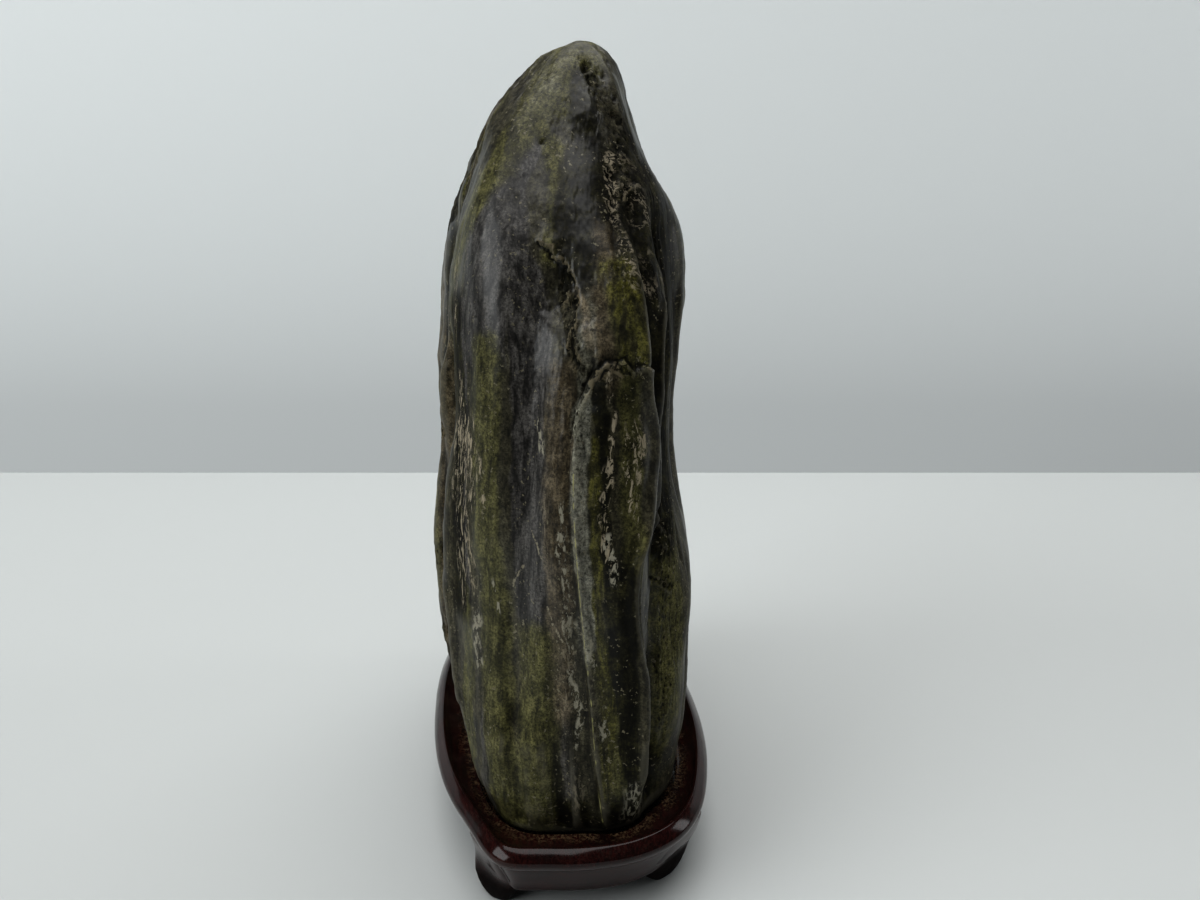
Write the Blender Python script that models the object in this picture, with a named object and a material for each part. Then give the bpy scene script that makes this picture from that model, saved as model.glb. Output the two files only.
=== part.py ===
"""A standing scholars' rock, a tall river-worn stone fluted from foot to peak, in its carved wooden stand.

Metres, +Z up. The origin is on the ground under the middle of the stand, the rock's narrow face looks along
-Y, and its long side runs along Y.
"""

import math

import bmesh
import bpy
import numpy as np
from mathutils import Vector, noise

# Driving dimensions, in metres. Bearings are degrees round an upright axis: 0 at the front (-Y), 90 at the
# right (+X), -90 at the left.
STAND_HALF_WIDTH = 0.0505
STAND_HALF_LENGTH = 0.0910
STAND_SQUARENESS = 2.35
STAND_COLUMNS = 60
SEAT_FLOOR = 0.0220
SEAT_CLEARANCE = 0.0012
REST_GAP = 0.0003

ROCK_FOOT = SEAT_FLOOR + REST_GAP
ROCK_PEAK = 0.2660
ROCK_COLUMNS = 92
ROCK_RINGS = 41
ROCK_SQUARENESS = 2.35
ROCK_FOOT_SQUARENESS = 2.9
ROCK_FOOT_BLEND = 0.0600
ROCK_AXIS = (0.0060, -0.0090)

# The rock's reach from the frame's own axis at a few heights: height, left, right, front, back.
ROCK_STATIONS = (
    (0.0223, -0.0350, 0.0346, -0.0736, 0.0710),
    (0.0300, -0.0368, 0.0362, -0.0762, 0.0755),
    (0.0450, -0.0392, 0.0378, -0.0778, 0.0790),
    (0.0650, -0.0427, 0.0400, -0.0780, 0.0810),
    (0.0900, -0.0438, 0.0397, -0.0770, 0.0800),
    (0.1200, -0.0427, 0.0361, -0.0750, 0.0765),
    (0.1500, -0.0402, 0.0343, -0.0710, 0.0700),
    (0.1750, -0.0388, 0.0364, -0.0655, 0.0620),
    (0.1920, -0.0385, 0.0368, -0.0600, 0.0560),
    (0.2060, -0.0366, 0.0362, -0.0540, 0.0500),
    (0.2180, -0.0331, 0.0324, -0.0480, 0.0400),
    (0.2300, -0.0282, 0.0262, -0.0410, 0.0260),
    (0.2420, -0.0226, 0.0218, -0.0330, 0.0150),
    (0.2530, -0.0132, 0.0190, -0.0250, 0.0070),
    (0.2610, -0.0032, 0.0158, -0.0185, 0.0000),
    (0.2645, 0.0026, 0.0128, -0.0140, -0.0045),
    (0.2660, 0.0058, 0.0085, -0.0100, -0.0080),
)

# Long ridges (rise above 0) and grooves (rise below 0): rise, reach to the left, reach to the right, and
# the line's (height, bearing) points from the foot up.
ROCK_LINES = {
    "tongue edge": (
        0.0016, 0.0032, 0.0090,
        ((0.030, -1), (0.053, -4), (0.093, -6), (0.118, -8), (0.145, -9), (0.165, -6), (0.174, -2)),
    ),
    "tongue crest": (
        0.0040, 0.0100, 0.0052,
        ((0.040, 7), (0.066, 8.5), (0.090, 7), (0.108, 6), (0.130, 10), (0.150, 13), (0.200, 10.5)),
    ),
    "crest trough": (-0.0030, 0.0046, 0.0046, ((0.122, 14.5), (0.147, 15), (0.180, 16), (0.210, 17))),
    "second crest": (0.0018, 0.0034, 0.0040, ((0.125, 17), (0.153, 17.5), (0.178, 20), (0.206, 25))),
    "right crevice": (
        -0.0060, 0.0052, 0.0095,
        ((0.036, 13), (0.063, 14), (0.097, 14.5), (0.115, 16), (0.132, 20), (0.160, 25), (0.205, 30)),
    ),
    "right edge flute": (-0.0028, 0.0064, 0.0064, ((0.120, 44), (0.150, 46), (0.180, 48), (0.205, 50))),
    "right low roll": (0.0022, 0.0085, 0.0085, ((0.040, 46), (0.070, 50), (0.100, 50), (0.118, 48))),
    "right shoulder ridge": (0.0026, 0.0075, 0.0085, ((0.110, 62), (0.140, 64), (0.190, 68), (0.212, 70))),
    "right flank groove": (-0.0044, 0.0075, 0.0085, ((0.032, 80), (0.065, 86), (0.100, 86), (0.170, 78))),
    "right flank ridge": (0.0030, 0.0085, 0.0085, ((0.040, 104), (0.080, 108), (0.160, 99), (0.200, 104))),
    "right back groove": (-0.0050, 0.0085, 0.0080, ((0.032, 126), (0.070, 129), (0.150, 122), (0.215, 128))),
    "right back ridge": (0.0028, 0.0085, 0.0090, ((0.045, 148), (0.090, 150), (0.135, 147), (0.210, 140))),
    "back flute": (-0.0040, 0.0080, 0.0090, ((0.034, 166), (0.075, 167), (0.115, 164), (0.185, 160))),
    "back ridge": (0.0026, 0.0090, 0.0080, ((0.040, 180), (0.090, 183), (0.140, 182), (0.225, 178))),
    "back groove": (-0.0044, 0.0085, 0.0090, ((0.034, -164), (0.080, -160), (0.130, -161), (0.205, -172))),
    "back corner ridge": (0.0026, 0.0085, 0.0085, ((0.050, -140), (0.100, -143), (0.195, -148))),
    "left back groove": (-0.0040, 0.0085, 0.0080, ((0.032, -122), (0.080, -128), (0.165, -128))),
    "left back ridge": (0.0028, 0.0095, 0.0090, ((0.040, -104), (0.090, -112), (0.220, -111))),
    "left crevice": (-0.0056, 0.0080, 0.0070, ((0.034, -84), (0.070, -92), (0.110, -95), (0.205, -80))),
    "left outer ridge": (0.0032, 0.0075, 0.0055, ((0.040, -66), (0.070, -76), (0.100, -80), (0.160, -78))),
    "left edge groove": (-0.0038, 0.0055, 0.0050, ((0.036, -54), (0.060, -62), (0.090, -69), (0.170, -68))),
    "left edge ridge": (0.0022, 0.0055, 0.0085, ((0.040, -44), (0.068, -54), (0.090, -60), (0.135, -61))),
    "broad roll": (0.0024, 0.0130, 0.0100, ((0.120, -33), (0.177, -35), (0.201, -38), (0.240, -46))),
    "foot roll": (0.0042, 0.0140, 0.0170, ((0.020, -27), (0.040, -27), (0.056, -27))),
    "foot flat": (-0.0046, 0.0100, 0.0120, ((0.020, 15), (0.032, 16), (0.040, 17))),
    "low roll": (0.0014, 0.0080, 0.0080, ((0.032, -21), (0.060, -20), (0.085, -20))),
    "shallow trough": (-0.0024, 0.0075, 0.0075, ((0.045, -24), (0.120, -22), (0.169, -20), (0.195, -21))),
    "narrow roll": (0.0016, 0.0060, 0.0055, ((0.095, -15), (0.118, -14.5), (0.182, -14))),
    "crown groove": (-0.0016, 0.0050, 0.0060, ((0.214, 9), (0.226, 9), (0.240, 8), (0.252, 9))),
}
# The lines that the rock's upright rows of corners follow.
ROCK_GUIDES = (
    "tongue edge", "tongue crest", "right crevice", "right flank groove", "right back groove", "back flute",
    "back groove", "left back groove", "left crevice", "left edge groove", "shallow trough",
)

# Hollows (depth above 0) and lumps (depth below 0): depth, half width, half height, bearing, height.
ROCK_HOLLOWS = {
    "face hollow": (0.0036, 0.0062, 0.0115, -13, 0.190),
    "lump beside the hollow": (-0.0016, 0.0050, 0.0085, -5, 0.180),
    "low right hollow": (0.0024, 0.0062, 0.0110, 23, 0.088),
    "right lump": (-0.0022, 0.0075, 0.0120, 38, 0.092),
    "crown hollow": (0.0018, 0.0055, 0.0070, 26, 0.238),
    "right flank hollow": (0.0052, 0.0105, 0.0135, 93, 0.150),
    "right low hollow": (0.0040, 0.0115, 0.0095, 118, 0.066),
    "right flank lump": (-0.0030, 0.0120, 0.0120, 84, 0.188),
    "back hollow": (0.0060, 0.0120, 0.0150, 172, 0.104),
    "back ledge": (-0.0040, 0.0180, 0.0085, 178, 0.136),
    "back shoulder hollow": (0.0040, 0.0110, 0.0110, -172, 0.176),
    "left low hollow": (0.0044, 0.0105, 0.0125, -108, 0.074),
    "left shoulder hollow": (0.0040, 0.0085, 0.0120, -136, 0.186),
    "left flank lump": (-0.0028, 0.0115, 0.0160, -100, 0.160),
}
LINE_FADE = 0.0140
SWELL = 0.0017
SWELL_WAVES = 2.4
SWELL_UPRIGHT = 24.0

# Soft corners on the stand's outline: how far out, half spread in degrees, bearing.
STAND_CORNERS = ((0.0050, 7, -19), (0.0020, 12, 23), (0.0030, 10, 160), (0.0030, 10, -158))

# The stand's section, from the underside out and up to its crest: inset from the outline, height.
STAND_SECTION = (
    (0.0086, 0.0110),
    (0.0072, 0.0121),
    (0.0052, 0.0165),
    (0.0034, 0.0215),
    (0.0018, 0.0236),
    (0.0003, 0.0252),
    (0.0000, 0.0272),
    (0.0010, 0.0291),
    (0.0028, 0.0300),
    (0.0050, 0.0291),
)
# From the crest in to the seat's edge: share of the way, height.
STAND_DISH = ((0.35, 0.0274), (0.75, 0.0261), (1.00, 0.0262))

# The feet: x, y, the bearing each one faces. One foot from the top down: height, half length along the
# rim, half depth, how far it moves outward.
FEET = (
    (-0.0270, -0.0690, -57),
    (0.0241, -0.0651, 43),
    (0.0258, 0.0655, 130),
    (-0.0258, 0.0655, -130),
)
FOOT_SECTIONS = (
    (0.0160, 0.0120, 0.0050, -0.0010),
    (0.0115, 0.0138, 0.0070, 0.0000),
    (0.0075, 0.0118, 0.0072, 0.0000),
    (0.0035, 0.0080, 0.0058, 0.0006),
    (0.0000, 0.0044, 0.0036, 0.0014),
)
FOOT_COLUMNS = 12


def clear_scene():
    for obj in list(bpy.data.objects):
        bpy.data.objects.remove(obj)


def through(heights, values, z):
    """A smooth curve through values at heights, read at z."""
    slopes = np.gradient(values, heights)
    k = np.clip(np.searchsorted(heights, z) - 1, 0, len(heights) - 2)
    span = heights[k + 1] - heights[k]
    t = np.clip((z - heights[k]) / span, 0, 1)
    rise = values[k + 1] - values[k]
    bend = (slopes[k] * span - rise) * (1 - t) + (rise - slopes[k + 1] * span) * t
    return values[k] + rise * t + t * (1 - t) * bend


def ease(t):
    t = np.clip(t, 0, 1)
    return t * t * (3 - 2 * t)


def egg(left, right, front, back, squareness, axis):
    """Bearings about axis, in radians, and the distance from it, round a squared oval."""
    around = np.linspace(0, 2 * np.pi, 721)
    reach_x = np.where(np.sin(around) > 0, right - axis[0], axis[0] - left)
    reach_y = np.where(np.cos(around) > 0, axis[1] - front, back - axis[1])
    x = reach_x * np.sign(np.sin(around)) * np.abs(np.sin(around)) ** (2 / squareness)
    y = -reach_y * np.sign(np.cos(around)) * np.abs(np.cos(around)) ** (2 / squareness)
    return np.unwrap(np.arctan2(x, -y)), np.hypot(x, y)


def rock_outline(z, turns):
    """Distance from the rock's axis to its plain outline at height z, along each bearing in radians."""
    table = np.array(ROCK_STATIONS)
    reaches = [through(table[:, 0], table[:, k], z) for k in (1, 2, 3, 4)]
    foot = 1 - ease((z - ROCK_FOOT) / ROCK_FOOT_BLEND)
    squareness = ROCK_SQUARENESS + (ROCK_FOOT_SQUARENESS - ROCK_SQUARENESS) * foot
    bearings, distances = egg(*reaches, squareness, ROCK_AXIS)
    return np.interp(np.mod(turns, 2 * np.pi), bearings, distances)


def bearing_gap(turns, bearing):
    """How far each bearing in radians lies to the right of one bearing in degrees, in radians."""
    return np.mod(turns - math.radians(bearing) + np.pi, 2 * np.pi) - np.pi


def rock_relief(z, turns, reach):
    """How far the ridges, grooves, hollows and swells lift the outline at height z."""
    lift = np.zeros_like(turns)
    for rise, left, right, path in ROCK_LINES.values():
        heights, bearings = np.array(path).T
        if not heights[0] - LINE_FADE < z < heights[-1] + LINE_FADE:
            continue
        ends = ease((z - heights[0]) / LINE_FADE + 1) * ease((heights[-1] - z) / LINE_FADE + 1)
        across = reach * bearing_gap(turns, through(heights, bearings, np.clip(z, heights[0], heights[-1])))
        share = 1 - ease(np.abs(across) / np.where(across < 0, left, right) / 1.6)
        lift += rise * ends * share**1.5
    for depth, half_width, half_height, bearing, height in ROCK_HOLLOWS.values():
        across = reach * bearing_gap(turns, bearing) / half_width
        lift -= depth * np.exp(-(across**2) - ((z - height) / half_height) ** 2)
    for j, turn in enumerate(turns):
        spot = Vector((SWELL_WAVES * math.sin(turn), SWELL_WAVES * math.cos(turn), SWELL_UPRIGHT * z))
        lift[j] += SWELL * noise.noise(spot)
    return lift


def guided_turns(z, turns):
    """The rows' bearings at height z, each row kept beside the same ridge or groove all the way up."""
    paths = [np.array(ROCK_LINES[name][3]).T for name in ROCK_GUIDES]
    here = [through(heights, bearings, np.clip(z, *heights[[0, -1]])) for heights, bearings in paths]
    usual = np.mod(np.radians([bearings.mean() for _, bearings in paths]), 2 * np.pi)
    rows = turns[[np.abs(turns - bearing).argmin() for bearing in usual]]
    shift = np.mod(np.radians(here) - rows + np.pi, 2 * np.pi) - np.pi
    order = np.argsort(rows)
    return turns + np.interp(turns, rows[order], shift[order], period=2 * np.pi)


def rock_ring(z, turns):
    """Points round the rock's surface at height z."""
    reach = rock_outline(z, turns)
    near_peak = np.clip(reach / 0.016, 0, 1) ** 2
    near_foot = 0.6 + 0.4 * ease((z - 0.026) / 0.016)
    reach = reach + rock_relief(z, turns, reach) * near_peak * near_foot
    x = ROCK_AXIS[0] + reach * np.sin(turns)
    y = ROCK_AXIS[1] - reach * np.cos(turns)
    return np.stack([x, y, np.full_like(x, z)], axis=-1)


def even_turns(outline, count, front_weight):
    """count bearings in radians, evenly spaced along an outline, closer at the front by front_weight."""
    turns = np.linspace(0, 2 * np.pi, 1441)
    reach = outline(turns)
    x = reach * np.sin(turns)
    y = reach * np.cos(turns)
    steps = np.hypot(np.diff(x), np.diff(y)) * (1 + front_weight * np.cos(turns[1:]))
    travelled = np.concatenate([[0], np.cumsum(steps)])
    return np.interp(np.arange(count) / count * travelled[-1], travelled, turns)


def solid_of_rings(name, rings, bottom, top):
    """A closed mesh object from rings of equal length, capped by a point at each end."""
    mesh = bmesh.new()
    rows = [[mesh.verts.new(point) for point in ring] for ring in rings]
    low = mesh.verts.new(bottom)
    high = mesh.verts.new(top)
    count = len(rows[0])
    for j in range(count):
        k = (j + 1) % count
        mesh.faces.new((low, rows[0][k], rows[0][j]))
        mesh.faces.new((high, rows[-1][j], rows[-1][k]))
        for below, above in zip(rows, rows[1:]):
            mesh.faces.new((below[j], below[k], above[k], above[j]))
    bmesh.ops.recalc_face_normals(mesh, faces=mesh.faces)
    data = bpy.data.meshes.new(name)
    mesh.to_mesh(data)
    mesh.free()
    obj = bpy.data.objects.new(name, data)
    bpy.context.scene.collection.objects.link(obj)
    return obj


def material(name, colour, roughness, coat):
    made = bpy.data.materials.new(name)
    made.use_nodes = True
    shader = made.node_tree.nodes["Principled BSDF"]
    shader.inputs["Base Color"].default_value = (*colour, 1)
    shader.inputs["Roughness"].default_value = roughness
    shader.inputs["Coat Weight"].default_value = coat
    made.diffuse_color = (*colour, 1)
    return made


def build_rock():
    turns = even_turns(lambda t: rock_outline(0.12, t), ROCK_COLUMNS, 0.35)
    share = np.linspace(0, 1, ROCK_RINGS)
    heights = ROCK_FOOT + (ROCK_PEAK - ROCK_FOOT) * (share + 0.10 * np.sin(np.pi * share) * share)
    heights[-1] = ROCK_PEAK - 0.0007
    rings = [rock_ring(z, guided_turns(z, turns)) for z in heights]
    foot = rings[0].mean(axis=0)
    peak = (*rings[-1].mean(axis=0)[:2], ROCK_PEAK)
    rock = solid_of_rings("rock", rings, foot, peak)
    rock.data.shade_smooth()
    rock.data.set_sharp_from_angle(angle=math.radians(60))
    rock.data.materials.append(material("river_stone", (0.045, 0.045, 0.028), 0.38, 0.15))
    return rock


def plain_outline(turns):
    """Distance from the origin to the stand's widest outline without its corners, along each bearing."""
    sides = (-STAND_HALF_WIDTH, STAND_HALF_WIDTH, -STAND_HALF_LENGTH, STAND_HALF_LENGTH)
    bearings, distances = egg(*sides, STAND_SQUARENESS, (0, 0))
    return np.interp(np.mod(turns, 2 * np.pi), bearings, distances)


def stand_outline(turns):
    """Distance from the origin to the stand's widest outline, along each bearing in radians."""
    reach = plain_outline(turns)
    for out, spread, bearing in STAND_CORNERS:
        reach = reach + out * np.exp(-((bearing_gap(turns, bearing) / math.radians(spread)) ** 2))
    return reach


def inset_ring(outline, turns, inset, z):
    """An outline moved in by inset, square to itself, at height z."""
    reach = outline(turns)
    step = 0.01
    slope = (outline(turns + step) - outline(turns - step)) / (2 * step)
    outward = turns - np.arctan2(slope, reach)
    x = reach * np.sin(turns) - inset * np.sin(outward)
    y = -reach * np.cos(turns) + inset * np.cos(outward)
    return np.stack([x, y, np.full_like(x, z)], axis=-1)


def seat_ring(turns, z):
    """The recess that holds the rock's foot: the rock's own outline there, plus the clearance."""
    around = np.linspace(0, 2 * np.pi, 361)[:-1]
    x, y, _ = rock_ring(STAND_DISH[-1][1] + 0.001, around).T
    bearings = np.mod(np.arctan2(x, -y), 2 * np.pi)
    order = np.argsort(bearings)
    reach = np.interp(np.mod(turns, 2 * np.pi), bearings[order], np.hypot(x, y)[order], period=2 * np.pi)
    reach = reach + SEAT_CLEARANCE
    return np.stack([reach * np.sin(turns), -reach * np.cos(turns), np.full_like(turns, z)], axis=-1)


def build_foot(x, y, bearing):
    """One carved foot: it swells under the wall and draws in to a small pad on the ground."""
    turn = math.radians(bearing)
    outward = np.array([math.sin(turn), -math.cos(turn), 0.0])
    along = np.array([math.cos(turn), math.sin(turn), 0.0])
    around = np.linspace(0, 2 * np.pi, FOOT_COLUMNS, endpoint=False)
    rings = []
    for z, half_length, half_depth, shift in FOOT_SECTIONS:
        side = half_length * np.sign(np.cos(around)) * np.abs(np.cos(around)) ** 0.7
        deep = half_depth * np.sign(np.sin(around)) * np.abs(np.sin(around)) ** 0.7
        rings.append(np.array([x, y, z]) + np.outer(side, along) + np.outer(shift + deep, outward))
    foot = solid_of_rings("foot", rings[::-1], rings[-1].mean(axis=0), rings[0].mean(axis=0))
    foot.hide_render = True
    foot.display_type = "WIRE"
    return foot


def build_stand():
    turns = even_turns(stand_outline, STAND_COLUMNS, 0.15)
    rings = [inset_ring(stand_outline, turns, inset, z) for inset, z in STAND_SECTION]
    crest = rings[-1]
    for share, z in STAND_DISH:
        ring = crest + (seat_ring(turns, z) - crest) * share
        ring[:, 2] = z
        rings.append(ring)
    rings.append(seat_ring(turns, SEAT_FLOOR))
    underside = (0, 0, STAND_SECTION[0][1])
    stand = solid_of_rings("stand", rings, underside, (0, 0, SEAT_FLOOR))
    for x, y, bearing in FEET:
        join = stand.modifiers.new("join foot", "BOOLEAN")
        join.operation = "UNION"
        join.solver = "EXACT"
        join.object = build_foot(x, y, bearing)
    stand.data.shade_smooth()
    stand.data.set_sharp_from_angle(angle=math.radians(50))
    stand.data.materials.append(material("lacquered_wood", (0.022, 0.008, 0.006), 0.22, 0.6))
    return stand


clear_scene()
build_stand()
build_rock()
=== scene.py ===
import math
from types import SimpleNamespace

import bpy
import numpy as np
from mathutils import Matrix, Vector, noise


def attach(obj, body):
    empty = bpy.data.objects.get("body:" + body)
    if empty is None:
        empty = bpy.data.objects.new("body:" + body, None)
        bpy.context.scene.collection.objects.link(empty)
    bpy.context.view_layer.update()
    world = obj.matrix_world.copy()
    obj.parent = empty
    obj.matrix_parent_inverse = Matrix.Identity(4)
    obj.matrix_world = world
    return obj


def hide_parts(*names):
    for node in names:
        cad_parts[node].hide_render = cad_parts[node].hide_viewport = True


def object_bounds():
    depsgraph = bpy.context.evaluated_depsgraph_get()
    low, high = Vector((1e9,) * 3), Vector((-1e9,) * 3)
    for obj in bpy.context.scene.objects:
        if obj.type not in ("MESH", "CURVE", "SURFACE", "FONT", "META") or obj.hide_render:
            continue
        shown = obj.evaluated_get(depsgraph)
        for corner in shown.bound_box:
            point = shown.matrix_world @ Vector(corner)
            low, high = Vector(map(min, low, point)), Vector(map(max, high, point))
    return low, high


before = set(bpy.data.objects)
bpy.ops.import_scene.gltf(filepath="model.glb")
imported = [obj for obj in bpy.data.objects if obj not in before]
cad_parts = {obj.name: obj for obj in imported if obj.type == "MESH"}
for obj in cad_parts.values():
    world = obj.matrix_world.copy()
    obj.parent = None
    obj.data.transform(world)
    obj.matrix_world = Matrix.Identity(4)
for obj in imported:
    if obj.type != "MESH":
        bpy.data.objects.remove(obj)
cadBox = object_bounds()
print("frame loaded:", sorted(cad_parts))


def deselectAll():
    if bpy.context.mode != "OBJECT":
        bpy.ops.object.mode_set(mode="OBJECT")
    bpy.ops.object.select_all(action="DESELECT")


def makeActive(piece):
    deselectAll()
    piece.select_set(True)
    bpy.context.view_layer.objects.active = piece


def ease(t):
    t = np.clip(t, 0.0, 1.0)
    return t * t * (3.0 - 2.0 * t)


def softStep(values, low, high):
    # 0 up to low, 1 from high on
    return ease((values - low) / (high - low))


def shorterWay(gap):
    # the same turn in radians, between half a turn back and half a turn on
    return np.mod(gap + np.pi, 2 * np.pi) - np.pi


def smoothThrough(heights, values, z):
    # a smooth curve through the values, read at every height in z
    heights, values = np.asarray(heights, float), np.asarray(values, float)
    z = np.clip(z, heights[0], heights[-1])
    slopes = np.gradient(values, heights)
    k = np.clip(np.searchsorted(heights, z) - 1, 0, len(heights) - 2)
    span = heights[k + 1] - heights[k]
    t = (z - heights[k]) / span
    rise = values[k + 1] - values[k]
    bend = (slopes[k] * span - rise) * (1 - t) + (rise - slopes[k + 1] * span) * t
    return values[k] + rise * t + t * (1 - t) * bend


def readCorners(piece, what):
    values = np.empty(len(piece.data.vertices) * 3)
    piece.data.vertices.foreach_get(what, values)
    return values.reshape(-1, 3)


def placeCorners(piece, places):
    piece.data.vertices.foreach_set("co", np.ascontiguousarray(places).ravel())
    piece.data.update()


def keepValue(piece, name, values):
    # one number per corner of the mesh, for the materials to read
    layer = piece.data.attributes.new(name, "FLOAT", "POINT")
    layer.data.foreach_set("value", np.ascontiguousarray(values, dtype=np.float32))


def keepVector(piece, name, vectors):
    layer = piece.data.attributes.new(name, "FLOAT_VECTOR", "POINT")
    layer.data.foreach_set("vector", np.ascontiguousarray(vectors, dtype=np.float32).ravel())


def noiseAt(places, across, up, octaves, seed):
    # soft noise between -1 and 1 at places in millimetres: so many waves per metre across and up
    shift = Vector((seed * 7.31, seed * 3.77, seed * 5.13))
    scaled = places * (across / 1000.0, across / 1000.0, up / 1000.0)
    return np.array([noise.fractal(Vector(place) + shift, 0.9, 2.1, octaves) for place in scaled])


def convexity(piece, passes):
    # how far each corner stands out of its neighbours, in millimetres, averaged over a few passes
    places, normals = readCorners(piece, "co"), readCorners(piece, "normal")
    edges = np.empty(len(piece.data.edges) * 2, dtype=np.int32)
    piece.data.edges.foreach_get("vertices", edges)
    a, b = edges.reshape(-1, 2).T
    count = np.bincount(a, minlength=len(places)) + np.bincount(b, minlength=len(places))
    soft = places
    for _ in range(passes):
        totals = [np.bincount(a, side[b], len(side)) + np.bincount(b, side[a], len(side)) for side in soft.T]
        soft = np.stack(totals, axis=-1) / count[:, None]
    return np.einsum("ij,ij->i", places - soft, normals) * 1000.0


viewValues = {
    # place in metres, angles in degrees, lens and sensor in millimetres
    "cameraPlace": (-0.0300, -0.3139, 0.2200),
    "pitchDown": 16.0,
    "yawRight": 8.0,
    "lens": 27.0,
    "sensorWidth": 36.0,
    # half width, front and back of the table, in metres
    "table": (1.6, -0.55, 0.385),
    "tableColour": (0.62, 0.64, 0.63),
    # half width, how far back, lower and upper edge of the backdrop
    "wall": (2.2, 0.62, -1.0, 0.6),
    "wallColour": (0.72, 0.75, 0.75),
    "wallGlowColour": (0.95, 1.0, 1.0),
    "wallGlow": 0.13,
    "paintRoughness": 0.55,
    "roomColour": (0.80, 0.86, 0.90),
    "roomLight": 0.05,
    # name, place, what it points at, width, height, watts, colour
    "lights": (
        ("windowLight", (-1.95, -0.75, 1.15), (0.0, 0.0, 0.12), 1.7, 1.2, 20.0, (0.96, 0.99, 1.0)),
        ("ceilingLight", (-0.05, 0.04, 1.60), (0.0, 0.0, 0.0), 2.2, 1.5, 22.0, (1.0, 1.0, 1.0)),
        ("doorLight", (1.50, -0.10, 0.60), (0.0, 0.0, 0.12), 0.35, 0.9, 2.4, (0.98, 0.99, 1.0)),
    ),
}


def addToScene(name, data):
    holder = bpy.data.objects.new(name, data)
    bpy.context.scene.collection.objects.link(holder)
    return holder


def newMaterial(name):
    material = bpy.data.materials.new(name)
    material.use_nodes = True
    return material, material.node_tree, material.node_tree.nodes["Principled BSDF"]


def areaLight(name, place, target, width, height, power, colour):
    light = bpy.data.lights.new(name, "AREA")
    light.shape = "RECTANGLE"
    light.size, light.size_y = width, height
    light.energy = power
    light.color = colour
    holder = addToScene(name, light)
    holder.location = place
    holder.rotation_euler = (Vector(target) - Vector(place)).to_track_quat("-Z", "Y").to_euler()


def paintedSheet(name, colour, corners):
    # a flat sheet turned square to the camera; corners gives its corners from the plane's own, each 1 or -1
    deselectAll()
    bpy.ops.mesh.primitive_plane_add(size=2.0, location=(0.0, 0.0, 0.0))
    sheet = bpy.context.object
    sheet.name = name
    x, y, z = np.array([corners(x, y) for x, y, _ in readCorners(sheet, "co")]).T
    turn = math.radians(viewValues["yawRight"])
    across, back = x * math.cos(turn) + y * math.sin(turn), y * math.cos(turn) - x * math.sin(turn)
    placeCorners(sheet, np.stack([across, back, z], axis=-1))
    paint, _, shader = newMaterial(name + "Paint")
    shader.inputs["Base Color"].default_value = (*colour, 1.0)
    shader.inputs["Roughness"].default_value = viewValues["paintRoughness"]
    sheet.data.materials.append(paint)
    return sheet, shader


def setStage():
    values = viewValues
    camera = bpy.data.cameras.new("camera")
    camera.lens = values["lens"]
    camera.sensor_width = values["sensorWidth"]
    camera.clip_start = 0.01
    holder = addToScene("camera", camera)
    holder.location = values["cameraPlace"]
    tilt = math.radians(90.0 - values["pitchDown"])
    holder.rotation_euler = (tilt, 0.0, math.radians(-values["yawRight"]))
    bpy.context.scene.camera = holder

    halfTable, front, back = values["table"]
    floor, _ = paintedSheet(
        "floor", values["tableColour"], lambda x, y: (x * halfTable, back if y > 0 else front, 0.0)
    )
    halfWall, wallPlace, low, high = values["wall"]
    wall, shader = paintedSheet(
        "backdrop", values["wallColour"], lambda x, y: (x * halfWall, wallPlace, high if y > 0 else low)
    )
    shader.inputs["Emission Color"].default_value = (*values["wallGlowColour"], 1.0)
    shader.inputs["Emission Strength"].default_value = values["wallGlow"]

    world = bpy.data.worlds.new("softRoom")
    world.use_nodes = True
    background = world.node_tree.nodes["Background"]
    background.inputs["Color"].default_value = (*values["roomColour"], 1.0)
    background.inputs["Strength"].default_value = values["roomLight"]
    bpy.context.scene.world = world
    bpy.context.scene.view_settings.view_transform = "Standard"
    bpy.context.scene.view_settings.look = "Medium High Contrast"
    for light in values["lights"]:
        areaLight(*light)
    print("camera, light and floor set")


setStage()


def isSocket(value):
    return isinstance(value, bpy.types.NodeSocket)


def newStep(kind, *values):
    # a new node in the tree that the first socket among the values belongs to
    tree = next(value.id_data for value in values if isSocket(value))
    return tree.nodes.new(kind)


def feed(socket, value):
    if isSocket(value):
        socket.id_data.links.new(value, socket)
    else:
        socket.default_value = value


def calc(operation, a, b, clamp=False):
    step = newStep("ShaderNodeMath", a, b)
    step.operation = operation
    step.use_clamp = clamp
    feed(step.inputs[0], a)
    feed(step.inputs[1], b)
    return step.outputs[0]


def times(a, b, clamp=False):
    return calc("MULTIPLY", a, b, clamp)


def plus(a, b, clamp=False):
    return calc("ADD", a, b, clamp)


def minus(a, b, clamp=False):
    return calc("SUBTRACT", a, b, clamp)


def most(a, b, clamp=False):
    return calc("MAXIMUM", a, b, clamp)


def swing(pattern, amount):
    # a pattern round one half made to swing round zero
    return times(minus(pattern, 0.5), amount)


def rangeOf(value, low, high, toLow=0.0, toHigh=1.0):
    # a soft step: toLow at low, toHigh at high
    step = newStep("ShaderNodeMapRange", value)
    step.interpolation_type = "SMOOTHSTEP"
    feed(step.inputs["Value"], value)
    step.inputs["From Min"].default_value = low
    step.inputs["From Max"].default_value = high
    step.inputs["To Min"].default_value = toLow
    step.inputs["To Max"].default_value = toHigh
    return step.outputs["Result"]


def blend(share, first, second, kind="MIX"):
    step = newStep("ShaderNodeMix", share, first, second)
    step.data_type = "RGBA"
    step.blend_type = kind
    feed(step.inputs[0], share)
    for socket, value in ((step.inputs[6], first), (step.inputs[7], second)):
        feed(socket, value if isSocket(value) else (*value, 1.0))
    return step.outputs[2]


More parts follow.
